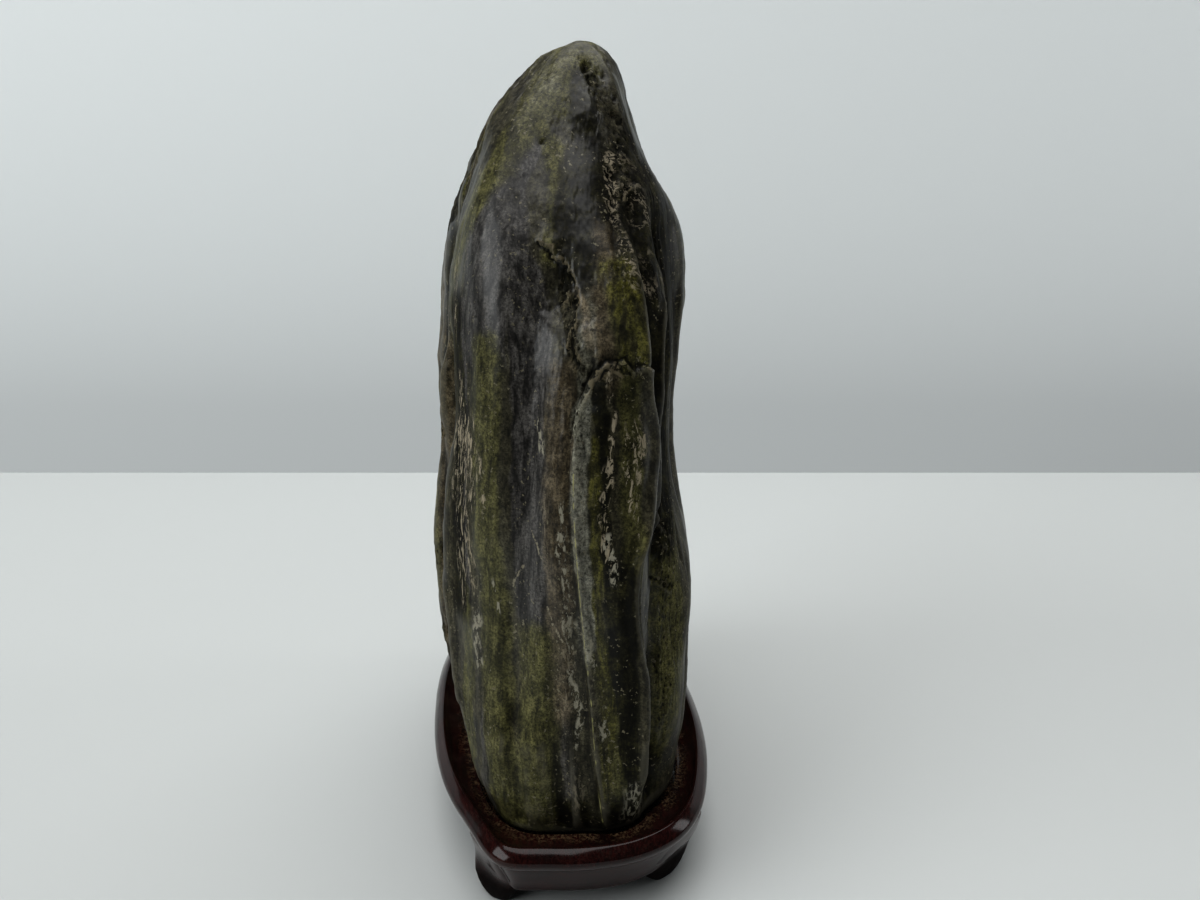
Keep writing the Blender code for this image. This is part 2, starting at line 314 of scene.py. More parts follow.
def stretch(vector, *scale):
    step = newStep("ShaderNodeMapping", vector)
    feed(step.inputs["Vector"], vector)
    step.inputs["Scale"].default_value = scale
    return step.outputs["Vector"]


def cloud(vector, scale, detail, roughness, distortion=0.0):
    step = newStep("ShaderNodeTexNoise", vector)
    feed(step.inputs["Vector"], vector)
    feed(step.inputs["Scale"], scale)
    step.inputs["Detail"].default_value = detail
    step.inputs["Roughness"].default_value = roughness
    step.inputs["Distortion"].default_value = distortion
    return step.outputs["Fac"]


def cells(vector, scale):
    step = newStep("ShaderNodeTexVoronoi", vector)
    feed(step.inputs["Vector"], vector)
    step.inputs["Scale"].default_value = scale
    return step.outputs["Distance"]


def kept(tree, name, output="Fac"):
    step = tree.nodes.new("ShaderNodeAttribute")
    step.attribute_name = name
    return step.outputs[output]


def objectPlace(tree):
    return tree.nodes.new("ShaderNodeTexCoord").outputs["Object"]


def newGroup(name, output, **inputs):
    # an input is a number's usual value, or None for a vector
    group = bpy.data.node_groups.new(name, "ShaderNodeTree")
    for label, value in inputs.items():
        kind = "NodeSocketVector" if value is None else "NodeSocketFloat"
        socket = group.interface.new_socket(label, in_out="INPUT", socket_type=kind)
        if value is not None:
            socket.default_value = value
    group.interface.new_socket(output, in_out="OUTPUT", socket_type="NodeSocketFloat")
    start, end = group.nodes.new("NodeGroupInput"), group.nodes.new("NodeGroupOutput")
    return group, start.outputs, end.inputs[output]


def useGroup(tree, group, **values):
    step = tree.nodes.new("ShaderNodeGroup")
    step.node_tree = group
    for label, value in values.items():
        feed(step.inputs[label], value)
    return step.outputs[0]


def buildDustGroup():
    # fine dust that lies where the surface looks up, broken into grains
    group, given, mask = newGroup("settledDust", "Mask", Vector=None, Amount=0.5, Grain=900.0)
    grains = cloud(given["Vector"], given["Grain"], 5.0, 0.7)
    patches = cloud(given["Vector"], 130.0, 4.0, 0.6)
    facing = group.nodes.new("ShaderNodeNewGeometry")
    split = group.nodes.new("ShaderNodeSeparateXYZ")
    feed(split.inputs["Vector"], facing.outputs["Normal"])
    upward = rangeOf(split.outputs["Z"], 0.15, 0.75)
    lying = times(times(rangeOf(grains, 0.42, 0.66), rangeOf(patches, 0.35, 0.65)), upward)
    feed(mask, times(lying, given["Amount"], True))
    return group


def buildGrainGroup():
    # fine irregular height for a surface, with a long-grained part along one direction
    group, given, height = newGroup("fineGrain", "Height", Vector=None, Long=None, Share=0.5)
    even = cloud(given["Vector"], 700.0, 6.0, 0.62)
    long = cloud(given["Long"], 1.0, 5.0, 0.6)
    step = group.nodes.new("ShaderNodeMix")
    feed(step.inputs[0], given["Share"])
    feed(step.inputs[2], even)
    feed(step.inputs[3], long)
    feed(height, step.outputs[0])
    return group


def addRelief(shader, height, strength, distance):
    bump = newStep("ShaderNodeBump", height)
    bump.inputs["Strength"].default_value = strength
    bump.inputs["Distance"].default_value = distance
    feed(bump.inputs["Height"], height)
    feed(shader.inputs["Normal"], bump.outputs["Normal"])


settledDust = buildDustGroup()
fineGrain = buildGrainGroup()


# All measures of the rock are in millimetres. A place on it is (height, bearing): the bearing is in
# degrees round its upright axis, 0 at its narrow face, 90 on its right, -90 on its left, 180 at its back.
rockValues = {
    "axis": (6, -9),
    "subdivisions": 2,
    # the narrow face gets finer faces: its middle bearing, how far to each side, and from which height
    "fineFace": (-2, 27, 60),
    # the foot in the seat and the pole at the top stay as they are: where the shaping fades in
    "footFade": (26.2, 30.2),
    "poleFade": (2, 8),
    # how far a line fades out past its ends, how much its foot widens, how sharp crests and edges are
    "lineFade": 10,
    "lineSpread": 1.6,
    "sharpness": 1.5,
    # how wide a stroke's soft edge runs, and how much of it stays full
    "strokeEdge": (1.35, 0.15),
    "strokeFade": 14,
    "thinStrokeFade": 6,
    "thinStrokes": ("chalk", "pink", "yellow"),
    # how far noise moves the edges of the bands and of the broken places
    "wander": 1.2,
    "ragged": 1.2,
    # how far a broken edge, groove or rib fades out past its ends
    "endFade": 3,
    # depth of the shadow groove under a broken edge, as a share of its rise, and its distance and width
    "undercut": (0.35, 0.9),
    # how steep the side of a hollow is
    "hollowEdge": 2.6,
    # broken edges that show a tan lip, and how far past their ends it may run
    "lipOverrun": 1.5,
    "tanLips": ("tongueTop", "innerTop", "scarp", "scarpFoot", "lowEdge", "highLedge"),
    # distance kept for a corner that no lip or crack is near
    "farAway": 9,
    "fluteDepth": 0.30,
    "lumpDepth": 0.35,
    "grainDepth": 0.10,
    "roughDepth": 0.62,
    # between these bearings noise takes over from the placed strokes, and what it then draws:
    # strength, noise, where it starts and where it is full
    "sides": (55, 80),
    "sideBands": {
        "rough": (0.85, "patches", 0.02, 0.32), "olive": (0.9, "bands", -0.05, 0.30),
        "blackAndShade": (0.8, "bands", -0.08, -0.38), "brown": (0.7, "browns", 0.08, 0.38),
        "dashes": (0.42, "dashes", 0.05, 0.45),
    },
    # the stone is dry below: how much, and the heights between which that fades
    "dryFoot": (0.65, 55, 115),
    # how far below the frame's top the peak stays, and over how much it flattens
    "peakRoom": 0.1,
    "peakSoft": 1.0,
    # waves per metre across and up, octaves, seed
    "noises": {
        "wander": (110, 110, 3, 1), "ragged": (480, 480, 3, 11), "lumps": (95, 95, 2, 3),
        "patches": (42, 42, 3, 6), "grain": (900, 900, 2, 7), "flutes": (260, 26, 3, 2),
        "broken": (620, 190, 4, 4), "ledges": (420, 110, 3, 5), "bands": (75, 9, 4, 8),
        "browns": (60, 12, 3, 9), "dashes": (60, 16, 3, 10),
    },
    # crests (rise above 0) and creases (rise below 0): rise, reach to the left, reach to the right, line
    "lines": {
        "tongueCrest": (1.7, 2.2, 1.1, ((50, 8), (70.1, 8.7), (81.3, 8.4), (88.9, 7.1), (109, 6),
            (115.6, 6.7), (126.2, 10.1), (138.1, 12.6), (146, 14.4), (153.2, 14.9), (164.6, 12.6),
            (177.1, 12.2), (192, 11.4), (198.6, 10.5))),
        "besideCrest": (-1.6, 1.1, 2.6, ((55, 11.2), (70.1, 11.6), (81.3, 11.4), (88.9, 10.1), (109, 9),
            (115.6, 9.7), (126.2, 12.9), (138.1, 15.2), (146, 16.6), (153.2, 17), (164.6, 15),
            (177.1, 14.8), (192, 14.2))),
        "secondCrest": (1.6, 1.4, 1.1, ((125, 17.5), (140.1, 18.9), (152.4, 18.2), (161.3, 18.4),
            (168.5, 18.4), (176.2, 19.6), (183.1, 21.5), (191.6, 25.8), (204, 30))),
        "rightCrease": (-1.6, 1.4, 2.4, ((36, 13.5), (63, 14.5), (97, 15), (115, 17), (132, 21), (160, 26),
            (205, 30))),
        "tongueEdge": (0.7, 0.9, 3.4, ((30, -1), (53, -3.4), (93, -5.8), (118, -7.7), (145, -8.4),
            (165, -5.6), (173, -2))),
        "tongueEdgeCut": (-0.6, 1.6, 0.6, ((40, -3), (53, -4.4), (93, -6.9), (118, -8.8), (145, -9.6),
            (165, -6.9), (173, -3))),
        "leftRidge": (1.2, 2, 3.6, ((62, -51), (85, -56.5), (91.3, -59), (97, -64.5), (110, -69),
            (141, -74), (165, -76))),
        "leftCut": (-0.9, 1.8, 1.6, ((66, -54.5), (86, -60), (98, -68), (112, -72.5), (140, -77.5))),
        "leftRidgeLow": (0.9, 1.6, 2.6, ((46, -54), (58, -60), (78, -65), (90, -69))),
        "faceFluteA": (-1.1, 3, 3.4, ((30, -24), (60, -25), (85, -26), (105, -27))),
        "faceFluteB": (-1.1, 2.4, 3, ((28, -12), (60, -14), (85, -15), (112, -16))),
        "faceRollC": (0.8, 2.2, 2.4, ((26, -8), (60, -9.5), (85, -11), (105, -11.5))),
        "rightFluteA": (-1.2, 2.2, 2.2, ((110, 34), (140, 37), (180, 40), (205, 42))),
        "rightFluteB": (-1, 2, 2.4, ((40, 36), (70, 40), (100, 41))),
        "rightFluteC": (-1.4, 2.4, 2.4, ((120, 56), (150, 58), (185, 58))),
    },
    # Broken edges: rise, width of the edge, how far the raised side runs out, path. The raised side is on
    # the left hand of someone walking along the path over the surface.
    "edges": {
        "tongueTop": (1, 0.5, 11, ((172, 12), (171.8, 9.2), (170.4, 8), (172.6, 6.7), (174.7, 5.3),
            (173.7, 3.2), (173.2, 1.2), (174.7, 0.6), (172.7, -1.7), (169.9, -3.4), (167.2, -5),
            (163.6, -6.1))),
        "tongueSide": (0.35, 0.6, 3, ((165, -5.8), (156, -7.8), (145, -8.6), (130, -8.5), (118, -7.9),
            (108, -7.2), (93, -6), (74, -4.6), (53, -3.6))),
        "innerTop": (0.4, 0.5, 3, ((170, 6), (171.6, 4.6), (171.8, 1.6), (170.5, -0.5))),
        "scarp": (1, 0.6, 6, ((205.6, -20.9), (204.4, -17.2), (202.2, -16.1), (200.7, -13.5),
            (198.9, -10.1), (198, -9), (195.3, -8.8), (192.3, -7.7), (190.2, -7.3), (187.2, -8.7),
            (183.9, -8.1), (179.4, -8.1), (177.3, -8.3), (174.8, -7.1))),
        "scarpFoot": (0.6, 0.5, 2.6, ((192.9, -10.2), (189.9, -12.2), (187.5, -14.5))),
        "lowEdge": (0.5, 0.5, 2.6, ((184, -9.3), (183, -9.8), (179.7, -11), (178.5, -11.3))),
        "highLedge": (0.9, 0.5, 5, ((221.8, 25.6), (222.2, 19.9), (220.1, 15.3), (218, 13.4))),
        "bandLeft": (0.4, 0.6, 3, ((254, 3.6), (248, 8), (242, 9), (237, 4.5))),
        "bandRight": (0.5, 0.6, 3, ((222.5, 17), (230, 20.5), (234.5, 26), (240, 29), (247.6, 31.5))),
        "bulgeCrack": (0.7, 0.5, 4, ((100.7, 23), (103, 20.4), (104.7, 17.8), (106.8, 13.9))),
        "bulgeTop": (0.8, 0.6, 4, ((117.3, 25.5), (122.9, 19.8), (127.3, 17))),
        "bulgeFace": (0.5, 0.6, 4, ((78, 13), (84, 12), (94.8, 11.6), (105, 12.6))),
        "leftFlake": (0.5, 0.5, 4, ((150, -52), (144, -54), (135, -53), (126, -55))),
    },
    # grooves and ribs along a path: rise (below 0 a groove), half width, path
    "ribs": {
        "darkRib": (0.5, 1, ((222, 12.5), (220, 11.5), (212, 10), (204, 10.5))),
        "darkGroove": (-0.9, 1, ((219, 8), (212, 6), (205, 5.5), (198, 6))),
        "flankGroove": (-0.9, 1.1, ((220, 17), (212, 15), (202, 15.5), (193, 16))),
        "flankRib": (0.6, 1, ((216, 22), (208, 20), (200, 19.5))),
        "crossCrack": (-0.9, 0.5, ((106.8, 14.2), (106, 16), (104.7, 17.8), (103, 20.4), (100.7, 23))),
        "slantCrack": (-0.9, 0.6, ((127.3, 17), (122.9, 19.8), (117.3, 25.5))),
        "bulgeArc": (0.5, 0.8, ((112, 16.5), (115, 19), (113.5, 22.5))),
    },
    # hollows (depth above 0) and lumps (depth below 0): depth, radius, height over width, height, bearing
    "hollows": {
        "faceHollow": (1.3, 4.6, 1.7, 192, -13.8), "besideScarp": (-0.7, 3.4, 1.6, 179, -4.5),
        "knob": (-1.5, 5, 1.9, 244, -2.5), "underKnob": (0.5, 4, 1.4, 233, -3),
        "footLeft": (2.8, 15, 1.3, 56, -68), "footCorner": (-1.2, 8, 0.9, 40, -36),
        "pitA": (1.6, 1.3, 1.6, 257, 4.4), "pitB": (1.2, 1, 1.2, 256, 1),
        "pitC": (1.2, 1.1, 1.2, 253.2, 4.5), "pitD": (1, 0.8, 1.2, 251.9, 5),
        "pitE": (0.6, 0.7, 1, 262.5, 51.7), "pitF": (0.8, 0.8, 1, 258.6, 43.5),
        "pitG": (0.9, 0.8, 1, 255.9, 41.4), "pitH": (0.8, 0.8, 1.2, 253.6, 25.1),
        "notch": (1.4, 1.3, 0.7, 247.6, 29.3), "pitI": (1.2, 1.1, 1.2, 242.3, 22.9),
        "pitJ": (1, 1, 0.8, 240.6, 26.3), "pitK": (0.8, 0.8, 1, 236.8, 19),
        "pitL": (0.8, 0.9, 0.8, 236.9, 26.3), "pitM": (1, 0.8, 1.2, 234.5, 20.4),
        "peakLeft": (-1, 7, 0.8, 260, -84), "darkHole": (1.8, 1.8, 1.4, 224.9, 9.2),
        "scarpPocket": (1.3, 1.3, 1.3, 190, -8.2), "nickA": (0.9, 1, 1.1, 202, -16.2),
        "nickB": (0.7, 0.9, 1, 234, -27), "lowPitA": (1.1, 2, 1.6, 94.8, 12.6),
        "lowPitB": (1.1, 1.8, 2.2, 81, 14.4), "lowPitC": (0.8, 1.6, 2, 70, 19),
    },
    # Bands of colour and finish. Each stroke: strength, reach to the left, reach to the right, line.
    "bands": {
        "olive": (
            (1, 5.6, 6.6, ((23, -27), (33.5, -27.6), (48.4, -28.5), (68.8, -30.3), (88.6, -31.8),
                (107.7, -33), (138, -34.6), (162, -35.6), (174, -36.2))),
            (0.9, 8, 7.5, ((23, -18), (52, -18.5), (72.7, -18.5), (89.2, -17.4))),
            (0.8, 4, 4, ((40, -42), (60, -43), (82.2, -43), (95, -45))),
            (0.9, 5, 8, ((195, -64), (208, -60), (220, -52), (230, -46), (240.4, -42), (249.3, -42),
                (258.6, -42))),
            (0.9, 3.4, 4, ((206, -17), (215, -15.3), (223.3, -17.3), (231.7, -22.2), (237.5, -30.2),
                (246.4, -40.6))),
            (1, 8, 9, ((33, 10), (45.1, 13.1), (53.7, 16.8), (65.5, 20.2), (81.2, 22.6), (98.5, 21.3),
                (111.9, 20), (118, 22))),
            (0.8, 3, 3, ((45, 2.5), (60, 1.6), (70, 1.6), (90, 0.6))),
            (0.75, 4.5, 4.5, ((116, 6.5), (130, 6.5), (145, 6.5), (160, 6), (169, 6))),
            (0.5, 12, 12, ((30, 52), (70, 60), (110, 66))),
            (0.8, 14, 12, ((246, -24), (254, -22), (262, -16))),
        ),
        "pale": (
            (1, 2.6, 2.6, ((93, -5.2), (108.9, -6.1), (123.9, -7), (135.5, -7.4), (144.1, -7.4),
                (155.3, -6.5), (163.7, -6))),
            (0.55, 2.8, 3.2, ((176, -4.6), (180, -4.4), (185, -4.2))),
            (0.34, 7, 7, ((244, -34), (253, -32), (262.1, -20))),
            (0.26, 8, 9, ((254, 8), (258, 14), (262, 20))),
        ),
        "brown": (
            (0.8, 5, 6, ((100, -12.7), (123.8, -12.6), (141.2, -12.7), (155.3, -12.3), (169.1, -12))),
            (0.9, 6, 6, ((60, -70), (106.7, -72), (126.6, -75), (186.4, -78))),
            (0.7, 4.5, 5, ((170, 1), (185, -1), (200, 0), (215, 3))),
            (0.6, 5, 5, ((70, -11.5), (85, -12.5), (100, -13))),
        ),
        "purpleAndSheen": (
            (1, 6, 7, ((103, -20.5), (123, -20.6), (154.7, -21.5), (182.4, -23.1), (195, -27), (205, -32),
                (215, -36))),
            # painted sheen: the upper left roll is painted pale grey-purple where it catches the light, over
            # the stone's own colour
            (1, 9, 11, ((176, -38), (186, -38), (196, -40), (206, -42), (214, -42))),
            (0.9, 4, 4, ((220, -34), (230, -33), (240, -34))),
            (0.8, 4, 5, ((100, -45), (122.3, -46.4), (144.3, -46.8), (185.2, -50.2))),
            (0.5, 4, 4, ((25, -10), (45, -10.5), (70, -11))),
            (0.6, 4, 4, ((30, -34), (68.3, -33), (85.8, -32))),
        ),
        "yellow": (
            (0.9, 5, 6, ((174, 7.5), (182, 7.5), (194, 5), (199, 4))),
            (1, 1.6, 1.8, ((59.8, 0.4), (69.1, 0.2), (76.8, -0.8), (88.2, -1.5), (96.6, -2.7),
                (105.6, -2.9), (117.9, -3.4), (135.5, -3.2), (151.1, -3.3))),
            (0.7, 2.6, 2, ((42, -1), (53.1, -1), (69.1, -1), (76.8, -1.6), (88.2, -2.6))),
        ),
        "blackAndShade": (
            (1, 2.2, 2.6, ((76.8, 1.6), (92.8, 0.8), (111.6, -0.1), (123.6, -0.8), (135.4, -1),
                (146.8, -0.9), (158, -1.4), (167.7, -1.7))),
            (0.8, 3.6, 4, ((42, 6), (55, 5), (70, 4.5), (82, 4.5), (100, 4), (112, 4))),
            (0.5, 6, 6, ((112, 4.5), (130, 4.5), (150, 4.5), (170, 4.5))),
            (0.9, 8, 8, ((118, 22), (150, 26), (180, 27), (206, 30))),
            (0.9, 1.6, 2.2, ((64, 13.4), (76.4, 13), (90.4, 11.9), (103, 12.1), (115.3, 12.4))),
            # painted shade: the valley between the two right crests, which faces away from the light, is
            # painted black
            (1, 3.4, 3.6, ((120, 16), (130, 16.5), (150, 17.6), (170, 16.6), (196, 18.6))),
            (1, 6.4, 11, ((196, 12), (208, 12), (220, 12), (228, 12))),
            (1, 5, 5, ((218, 4), (230, 0), (240, -2), (249, -3))),
            # painted shade: the dark hollow here is painted black
            (1, 6.6, 7.6, ((200, -9), (212, -10), (224, -7))),
            (0.5, 3.4, 3.4, ((220, -34), (231.8, -40), (242, -50))),
            (0.75, 6.4, 5, ((95, -48), (120, -48), (145, -47.5), (170, -51), (190, -57))),
            (1, 3, 3.4, ((140, 24), (150, 22), (165, 21), (180, 24))),
            (0.9, 11, 12, ((175, 34), (190, 38), (206, 40), (220, 42), (233, 46))),
            (0.9, 12, 14, ((18, 6), (30, 6), (36, 7))),
            (0.8, 8, 5, ((20, -10), (26, -9), (33, -8))),
        ),
        "dry": (
            (1, 14, 10, ((95, -48), (120, -47), (145, -47), (160, -49), (185, -55))),
            (0.9, 14, 14, ((80, 28), (120, 30), (160, 32), (200, 32), (225, 32))),
            (0.8, 6, 5, ((50, 5), (90, 5), (130, 4), (170, 4))),
            (1, 9, 12, ((193, 10), (210, 11), (228, 13))),
            (0.6, 9, 9, ((40, -48), (70, -56), (95, -62))),
        ),
        "pink": (
            (0.6, 1.6, 2, ((178.6, -3.9), (182.6, -4.4), (187.2, -5.5), (193, -8))),
        ),
        "rough": (
            (1, 4, 4.5, ((220, 12), (229.1, 18), (234.8, 21), (240, 22))),
            (0.55, 4, 4, ((240, 20), (246.4, 14), (252.4, 7), (256, 4))),
            (0.55, 5, 6, ((193.2, 9), (201.3, 9.5), (209.5, 10), (217.8, 11), (226.1, 12))),
            (0.9, 2.6, 3.2, ((170, -5.5), (177.3, -8.3), (182.7, -9.7), (188, -11.1), (193.4, -12.6))),
            (0.7, 1.6, 2.2, ((156, -7.6), (165, -6), (170.4, -4), (173.9, -1))),
            (0.6, 6, 8, ((50, 18), (70, 20), (90, 21), (108, 22), (125, 26))),
            (0.5, 6, 8, ((190, 30), (206, 30), (220, 30))),
            (0.7, 5, 5, ((56, -62), (90, -66), (150, -64), (180, -62))),
        ),
        "dashes": (
            (1.4, 2.6, 2.6, ((148, -61.5), (153.2, -62.5), (161.4, -62.8), (168.6, -63.8))),
            (1.5, 2.2, 2.2, ((147, -45.8), (150.5, -46.5), (156.2, -48.7), (160.3, -51.6))),
            (1.8, 3.4, 3, ((136, -41.1), (139.8, -39.8), (144.4, -39.6), (148, -41.4))),
            (1.5, 5.8, 5.8, ((135, -49), (138, -48), (142.2, -48.9), (144, -52))),
            (1.5, 4.8, 4.4, ((110, -42.8), (118.2, -44.3), (123.2, -45), (128.6, -47.5), (131, -50))),
            (0.9, 2.4, 2.4, ((97, -47), (102.1, -47.6), (108, -49))),
            (0.8, 1.2, 1.2, ((134.5, -34.8), (138.5, -35.9))),
            (0.7, 3, 3, ((180, -57), (190, -59), (196, -60))),
            (1, 1.3, 1.3, ((145.5, 1.1), (152.4, 1.3), (163.5, 1.6), (167.9, 0.9))),
            (1, 1.8, 1.8, ((121.5, -0.5), (129.6, -1), (138.2, -0.1))),
            (1, 1.2, 1.2, ((137, 6.1), (143.5, 5.4), (150.6, 5.4))),
            (1, 1.2, 1.2, ((131, 7.4), (140.2, 8), (148.9, 7.7))),
            (0.9, 1, 1, ((144, 8.5), (150, 9.7))),
            (0.62, 3, 3.4, ((196, 9.5), (208, 8.5), (220, 8), (227, 9))),
            (0.52, 7, 8, ((195, 20), (210, 20), (225, 20))),
            (0.3, 4, 4, ((35, -8), (60, -9), (90, -10.5))),
            (0.35, 5, 4, ((120, -14), (132, -16), (140, -17))),
        ),
        "chalk": (
            (1, 1, 1, ((60.1, -8.2), (68.8, -7.4), (72.2, -8.1), (75.6, -7.8), (79.8, -9.5), (86.8, -9.5),
                (91.7, -9.5), (95.8, -9.7), (100.1, -9.9), (111.8, -10.7), (123.9, -10.9), (132.6, -11.4))),
            (1.4, 1.5, 1.5, ((97.5, -9.9), (100.1, -9.9), (103, -9.9))),
            (1.2, 1, 1.2, ((70, -7.6), (73.5, -8), (76, -8.4))),
            (1.3, 1.4, 1.6, ((114, 0.6), (118.2, 0.7), (122.5, 0))),
            (1, 1.2, 1.2, ((87.6, -3.4), (90.7, -5), (95.1, -6.2), (95.8, -7.7))),
            (1.1, 1.2, 1.8, ((64, -1.6), (66.3, -2.4), (69, -1.8))),
            (0.8, 2.6, 2.4, ((79, -37), (85, -38.6), (93, -38))),
            (0.72, 6, 6, ((31, 6.5), (38.5, 7), (44, 7))),
            (0.9, 1.6, 1.8, ((120, -11.4), (126, -11.4))),
            (1, 0.8, 0.8, ((99.5, -29.8), (102, -29.8), (105.5, -31.5))),
            (0.9, 1, 1, ((150.5, -17.1), (152.5, -16.8), (155.2, -18))),
        ),
    },
    # the thin pale vein, and the short cracks, each a line up the rock
    "vein": (
        (24, 0), (26.8, -0.5), (32.1, -1.4), (38.2, -2.3), (53.3, -3.6), (73.8, -4.6), (93.2, -6),
        (108.9, -7.2), (118, -7.9), (123.9, -8.3), (135.5, -8.6), (144, -8.6),
    ),
    "cracks": (
        ((117.4, -16.8), (119.5, -17.6), (121.8, -18.1), (123.7, -19.2), (126, -19.8)),
        ((106.6, -25.8), (109.3, -24.9), (111.6, -24), (114.5, -22.2)),
        ((93.1, -11.7), (95.6, -12.7), (98, -14), (101, -15.3), (103.4, -16)),
        ((134, 20.5), (137, 19), (140, 19.5), (145, 18)),
    ),
    # ways that the bands run beside the vein and the crests: each keeps one upright row of the pattern
    "flow": (
        ((32, 80), (65, 86), (100, 86), (170, 78)),
        ((32, 126), (70, 129), (150, 122), (215, 128)),
        ((34, 166), (75, 167), (115, 164), (185, 160)),
        ((34, -164), (80, -160), (130, -161), (205, -172)),
        ((32, -122), (80, -128), (165, -128)),
        ((34, -84), (70, -92), (110, -95), (205, -80)),
        ((36, -54), (60, -62), (90, -69), (170, -68)),
        ((45, -24), (120, -22), (169, -20), (195, -21)),
    ),
    # colours of the bands: share, where the band's edge starts and ends, how much that wobbles, the pattern
    # that clouds it and its range, dark colour, light colour
    "tones": {
        "purpleAndSheen": (
            0.90, 0.35, 0.65, 0.50, "streaks", 0.38, 0.64, (0.024, 0.022, 0.021), (0.066, 0.062, 0.058),
        ),
        "olive": (
            0.92, 0.25, 0.70, 0.50, "mottle", 0.38, 0.64, (0.044, 0.042, 0.015), (0.100, 0.094, 0.037),
        ),
        "brown": (
            0.85, 0.25, 0.75, 0.50, "mottle", 0.40, 0.62, (0.044, 0.033, 0.018), (0.112, 0.090, 0.058),
        ),
        "blackAndShade": (
            0.95, 0.30, 0.70, 0.50, "mottle", 0.44, 0.68, (0.0036, 0.0032, 0.0012), (0.024, 0.022, 0.008),
        ),
        "pale": (
            0.85, 0.25, 0.75, 0.50, "mottle", 0.38, 0.64, (0.140, 0.136, 0.104), (0.225, 0.220, 0.178),
        ),
        "yellow": (
            0.92, 0.20, 0.90, 0.45, "mottle", 0.40, 0.62, (0.044, 0.041, 0.008), (0.112, 0.104, 0.027),
        ),
    },
    "colours": {
        "plainDark": (0.022, 0.020, 0.012), "plainLight": (0.058, 0.053, 0.033),
        "pink": (0.170, 0.138, 0.092), "pore": (0.007, 0.006, 0.003),
        # painted shade for the broad hollows and for the creases
        "valleyShade": (0.006, 0.0055, 0.0020), "creaseShade": (0.005, 0.0045, 0.0020),
        # the ridge colour is a painted highlight with some wear
        "ridgeHighlightAndWear": (0.150, 0.140, 0.105), "crumb": (0.120, 0.100, 0.064), "pit": (0.003, 0.003, 0.0015),
        # the dark under a broken edge is a painted shadow, and the tan lip is broken stone with a painted
        # highlight
        "lipShadow": (0.003, 0.003, 0.0012), "lip": (0.180, 0.150, 0.095), "dash": (0.400, 0.345, 0.250),
        "chalk": (0.340, 0.320, 0.250), "speck": (0.200, 0.180, 0.120), "vein": (0.360, 0.340, 0.150),
        "crack": (0.280, 0.250, 0.175), "dust": (0.120, 0.110, 0.085),
    },
    "dust": 0.35,
    "specular": 0.10,
    "roughness": (0.42, 0.58),
    # coat of wax where it is rubbed and where the stone is dry
    "wax": (0.58, 0.04),
    "waxRoughness": 0.28,
    # strength of the fine relief, and its height in metres
    "relief": (0.60, 0.00030),
}


def copyNode(nodeName, pieceName):
    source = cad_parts[nodeName]
    piece = addToScene(pieceName, source.data.copy())
    piece.data.name = pieceName
    piece.data.materials.clear()
    makeActive(piece)
    bpy.ops.object.mode_set(mode="EDIT")
    bpy.ops.mesh.select_all(action="SELECT")
    bpy.ops.mesh.remove_doubles(threshold=0.00001)
    flat = math.radians(60)
    bpy.ops.mesh.tris_convert_to_quads(face_threshold=flat, shape_threshold=flat)
    bpy.ops.object.mode_set(mode="OBJECT")
    return piece


def rockSurface(piece):
    # every corner's place, height, bearing in radians and distance from the rock's axis
    points = readCorners(piece, "co") * 1000.0
    x, y = points[:, 0] - rockValues["axis"][0], points[:, 1] - rockValues["axis"][1]
    return SimpleNamespace(
        points=points, normals=readCorners(piece, "normal"),
        height=points[:, 2], bearing=np.arctan2(x, -y), reach=np.hypot(x, y),
    )


def acrossLine(line, surface, bearing):
    # how far each corner lies to the right of a line, along the surface
    heights, bearings = np.array(line, float).T
    return surface.reach * shorterWay(bearing - np.radians(smoothThrough(heights, bearings, surface.height)))


def alongLine(line, height, fade):
    return ease((height - line[0][0]) / fade + 1.0) * ease((line[-1][0] - height) / fade + 1.0)


def strokeMask(stroke, surface, bearing, fade):
    strength, left, right, line = stroke
    spread, full = rockValues["strokeEdge"]
    across = acrossLine(line, surface, bearing)
    share = 1.0 - ease(np.abs(across) / np.where(across < 0, left, right) / spread - full)
    return strength * share * alongLine(line, surface.height, fade)


def flowBearing(height, bearing):
    # the bearing with the drift of the bands taken out, so that a pattern follows them
    ways = (rockValues["vein"], rockValues["lines"]["tongueCrest"][3], rockValues["lines"]["rightCrease"][3])
    ways += rockValues["flow"]
    usual = np.array([np.mean([toBearing for _, toBearing in way]) for way in ways])
    order = np.argsort(usual)
    usual = np.radians(usual[order])
    here = np.stack([np.radians(smoothThrough(*np.array(ways[k], float).T, height)) for k in order])
    here = here + np.round((usual[:, None] - here) / (2 * np.pi)) * 2 * np.pi
    shift = here - usual[:, None]
    low = np.concatenate([here[-1:] - 2 * np.pi, here, here[:1] + 2 * np.pi])
    drift = np.concatenate([shift[-1:], shift, shift[:1]])
    result = np.empty_like(bearing)
    for k in range(len(low) - 1):
        inside = (bearing >= low[k]) & (bearing < low[k + 1])
        share = (bearing - low[k]) / np.maximum(low[k + 1] - low[k], 1e-6)
        result = np.where(inside, bearing - drift[k] * (1 - share) - drift[k + 1] * share, result)
    outside = (bearing < low[0]) | (bearing >= low[-1])
    return np.where(outside, bearing, result)


def surfaceSpot(surface, z, toBearing):
    # the corner of the mesh nearest to a height and bearing
    along = surface.reach * shorterWay(surface.bearing - math.radians(toBearing))
    return int(np.argmin((surface.height - z) ** 2 + along ** 2))


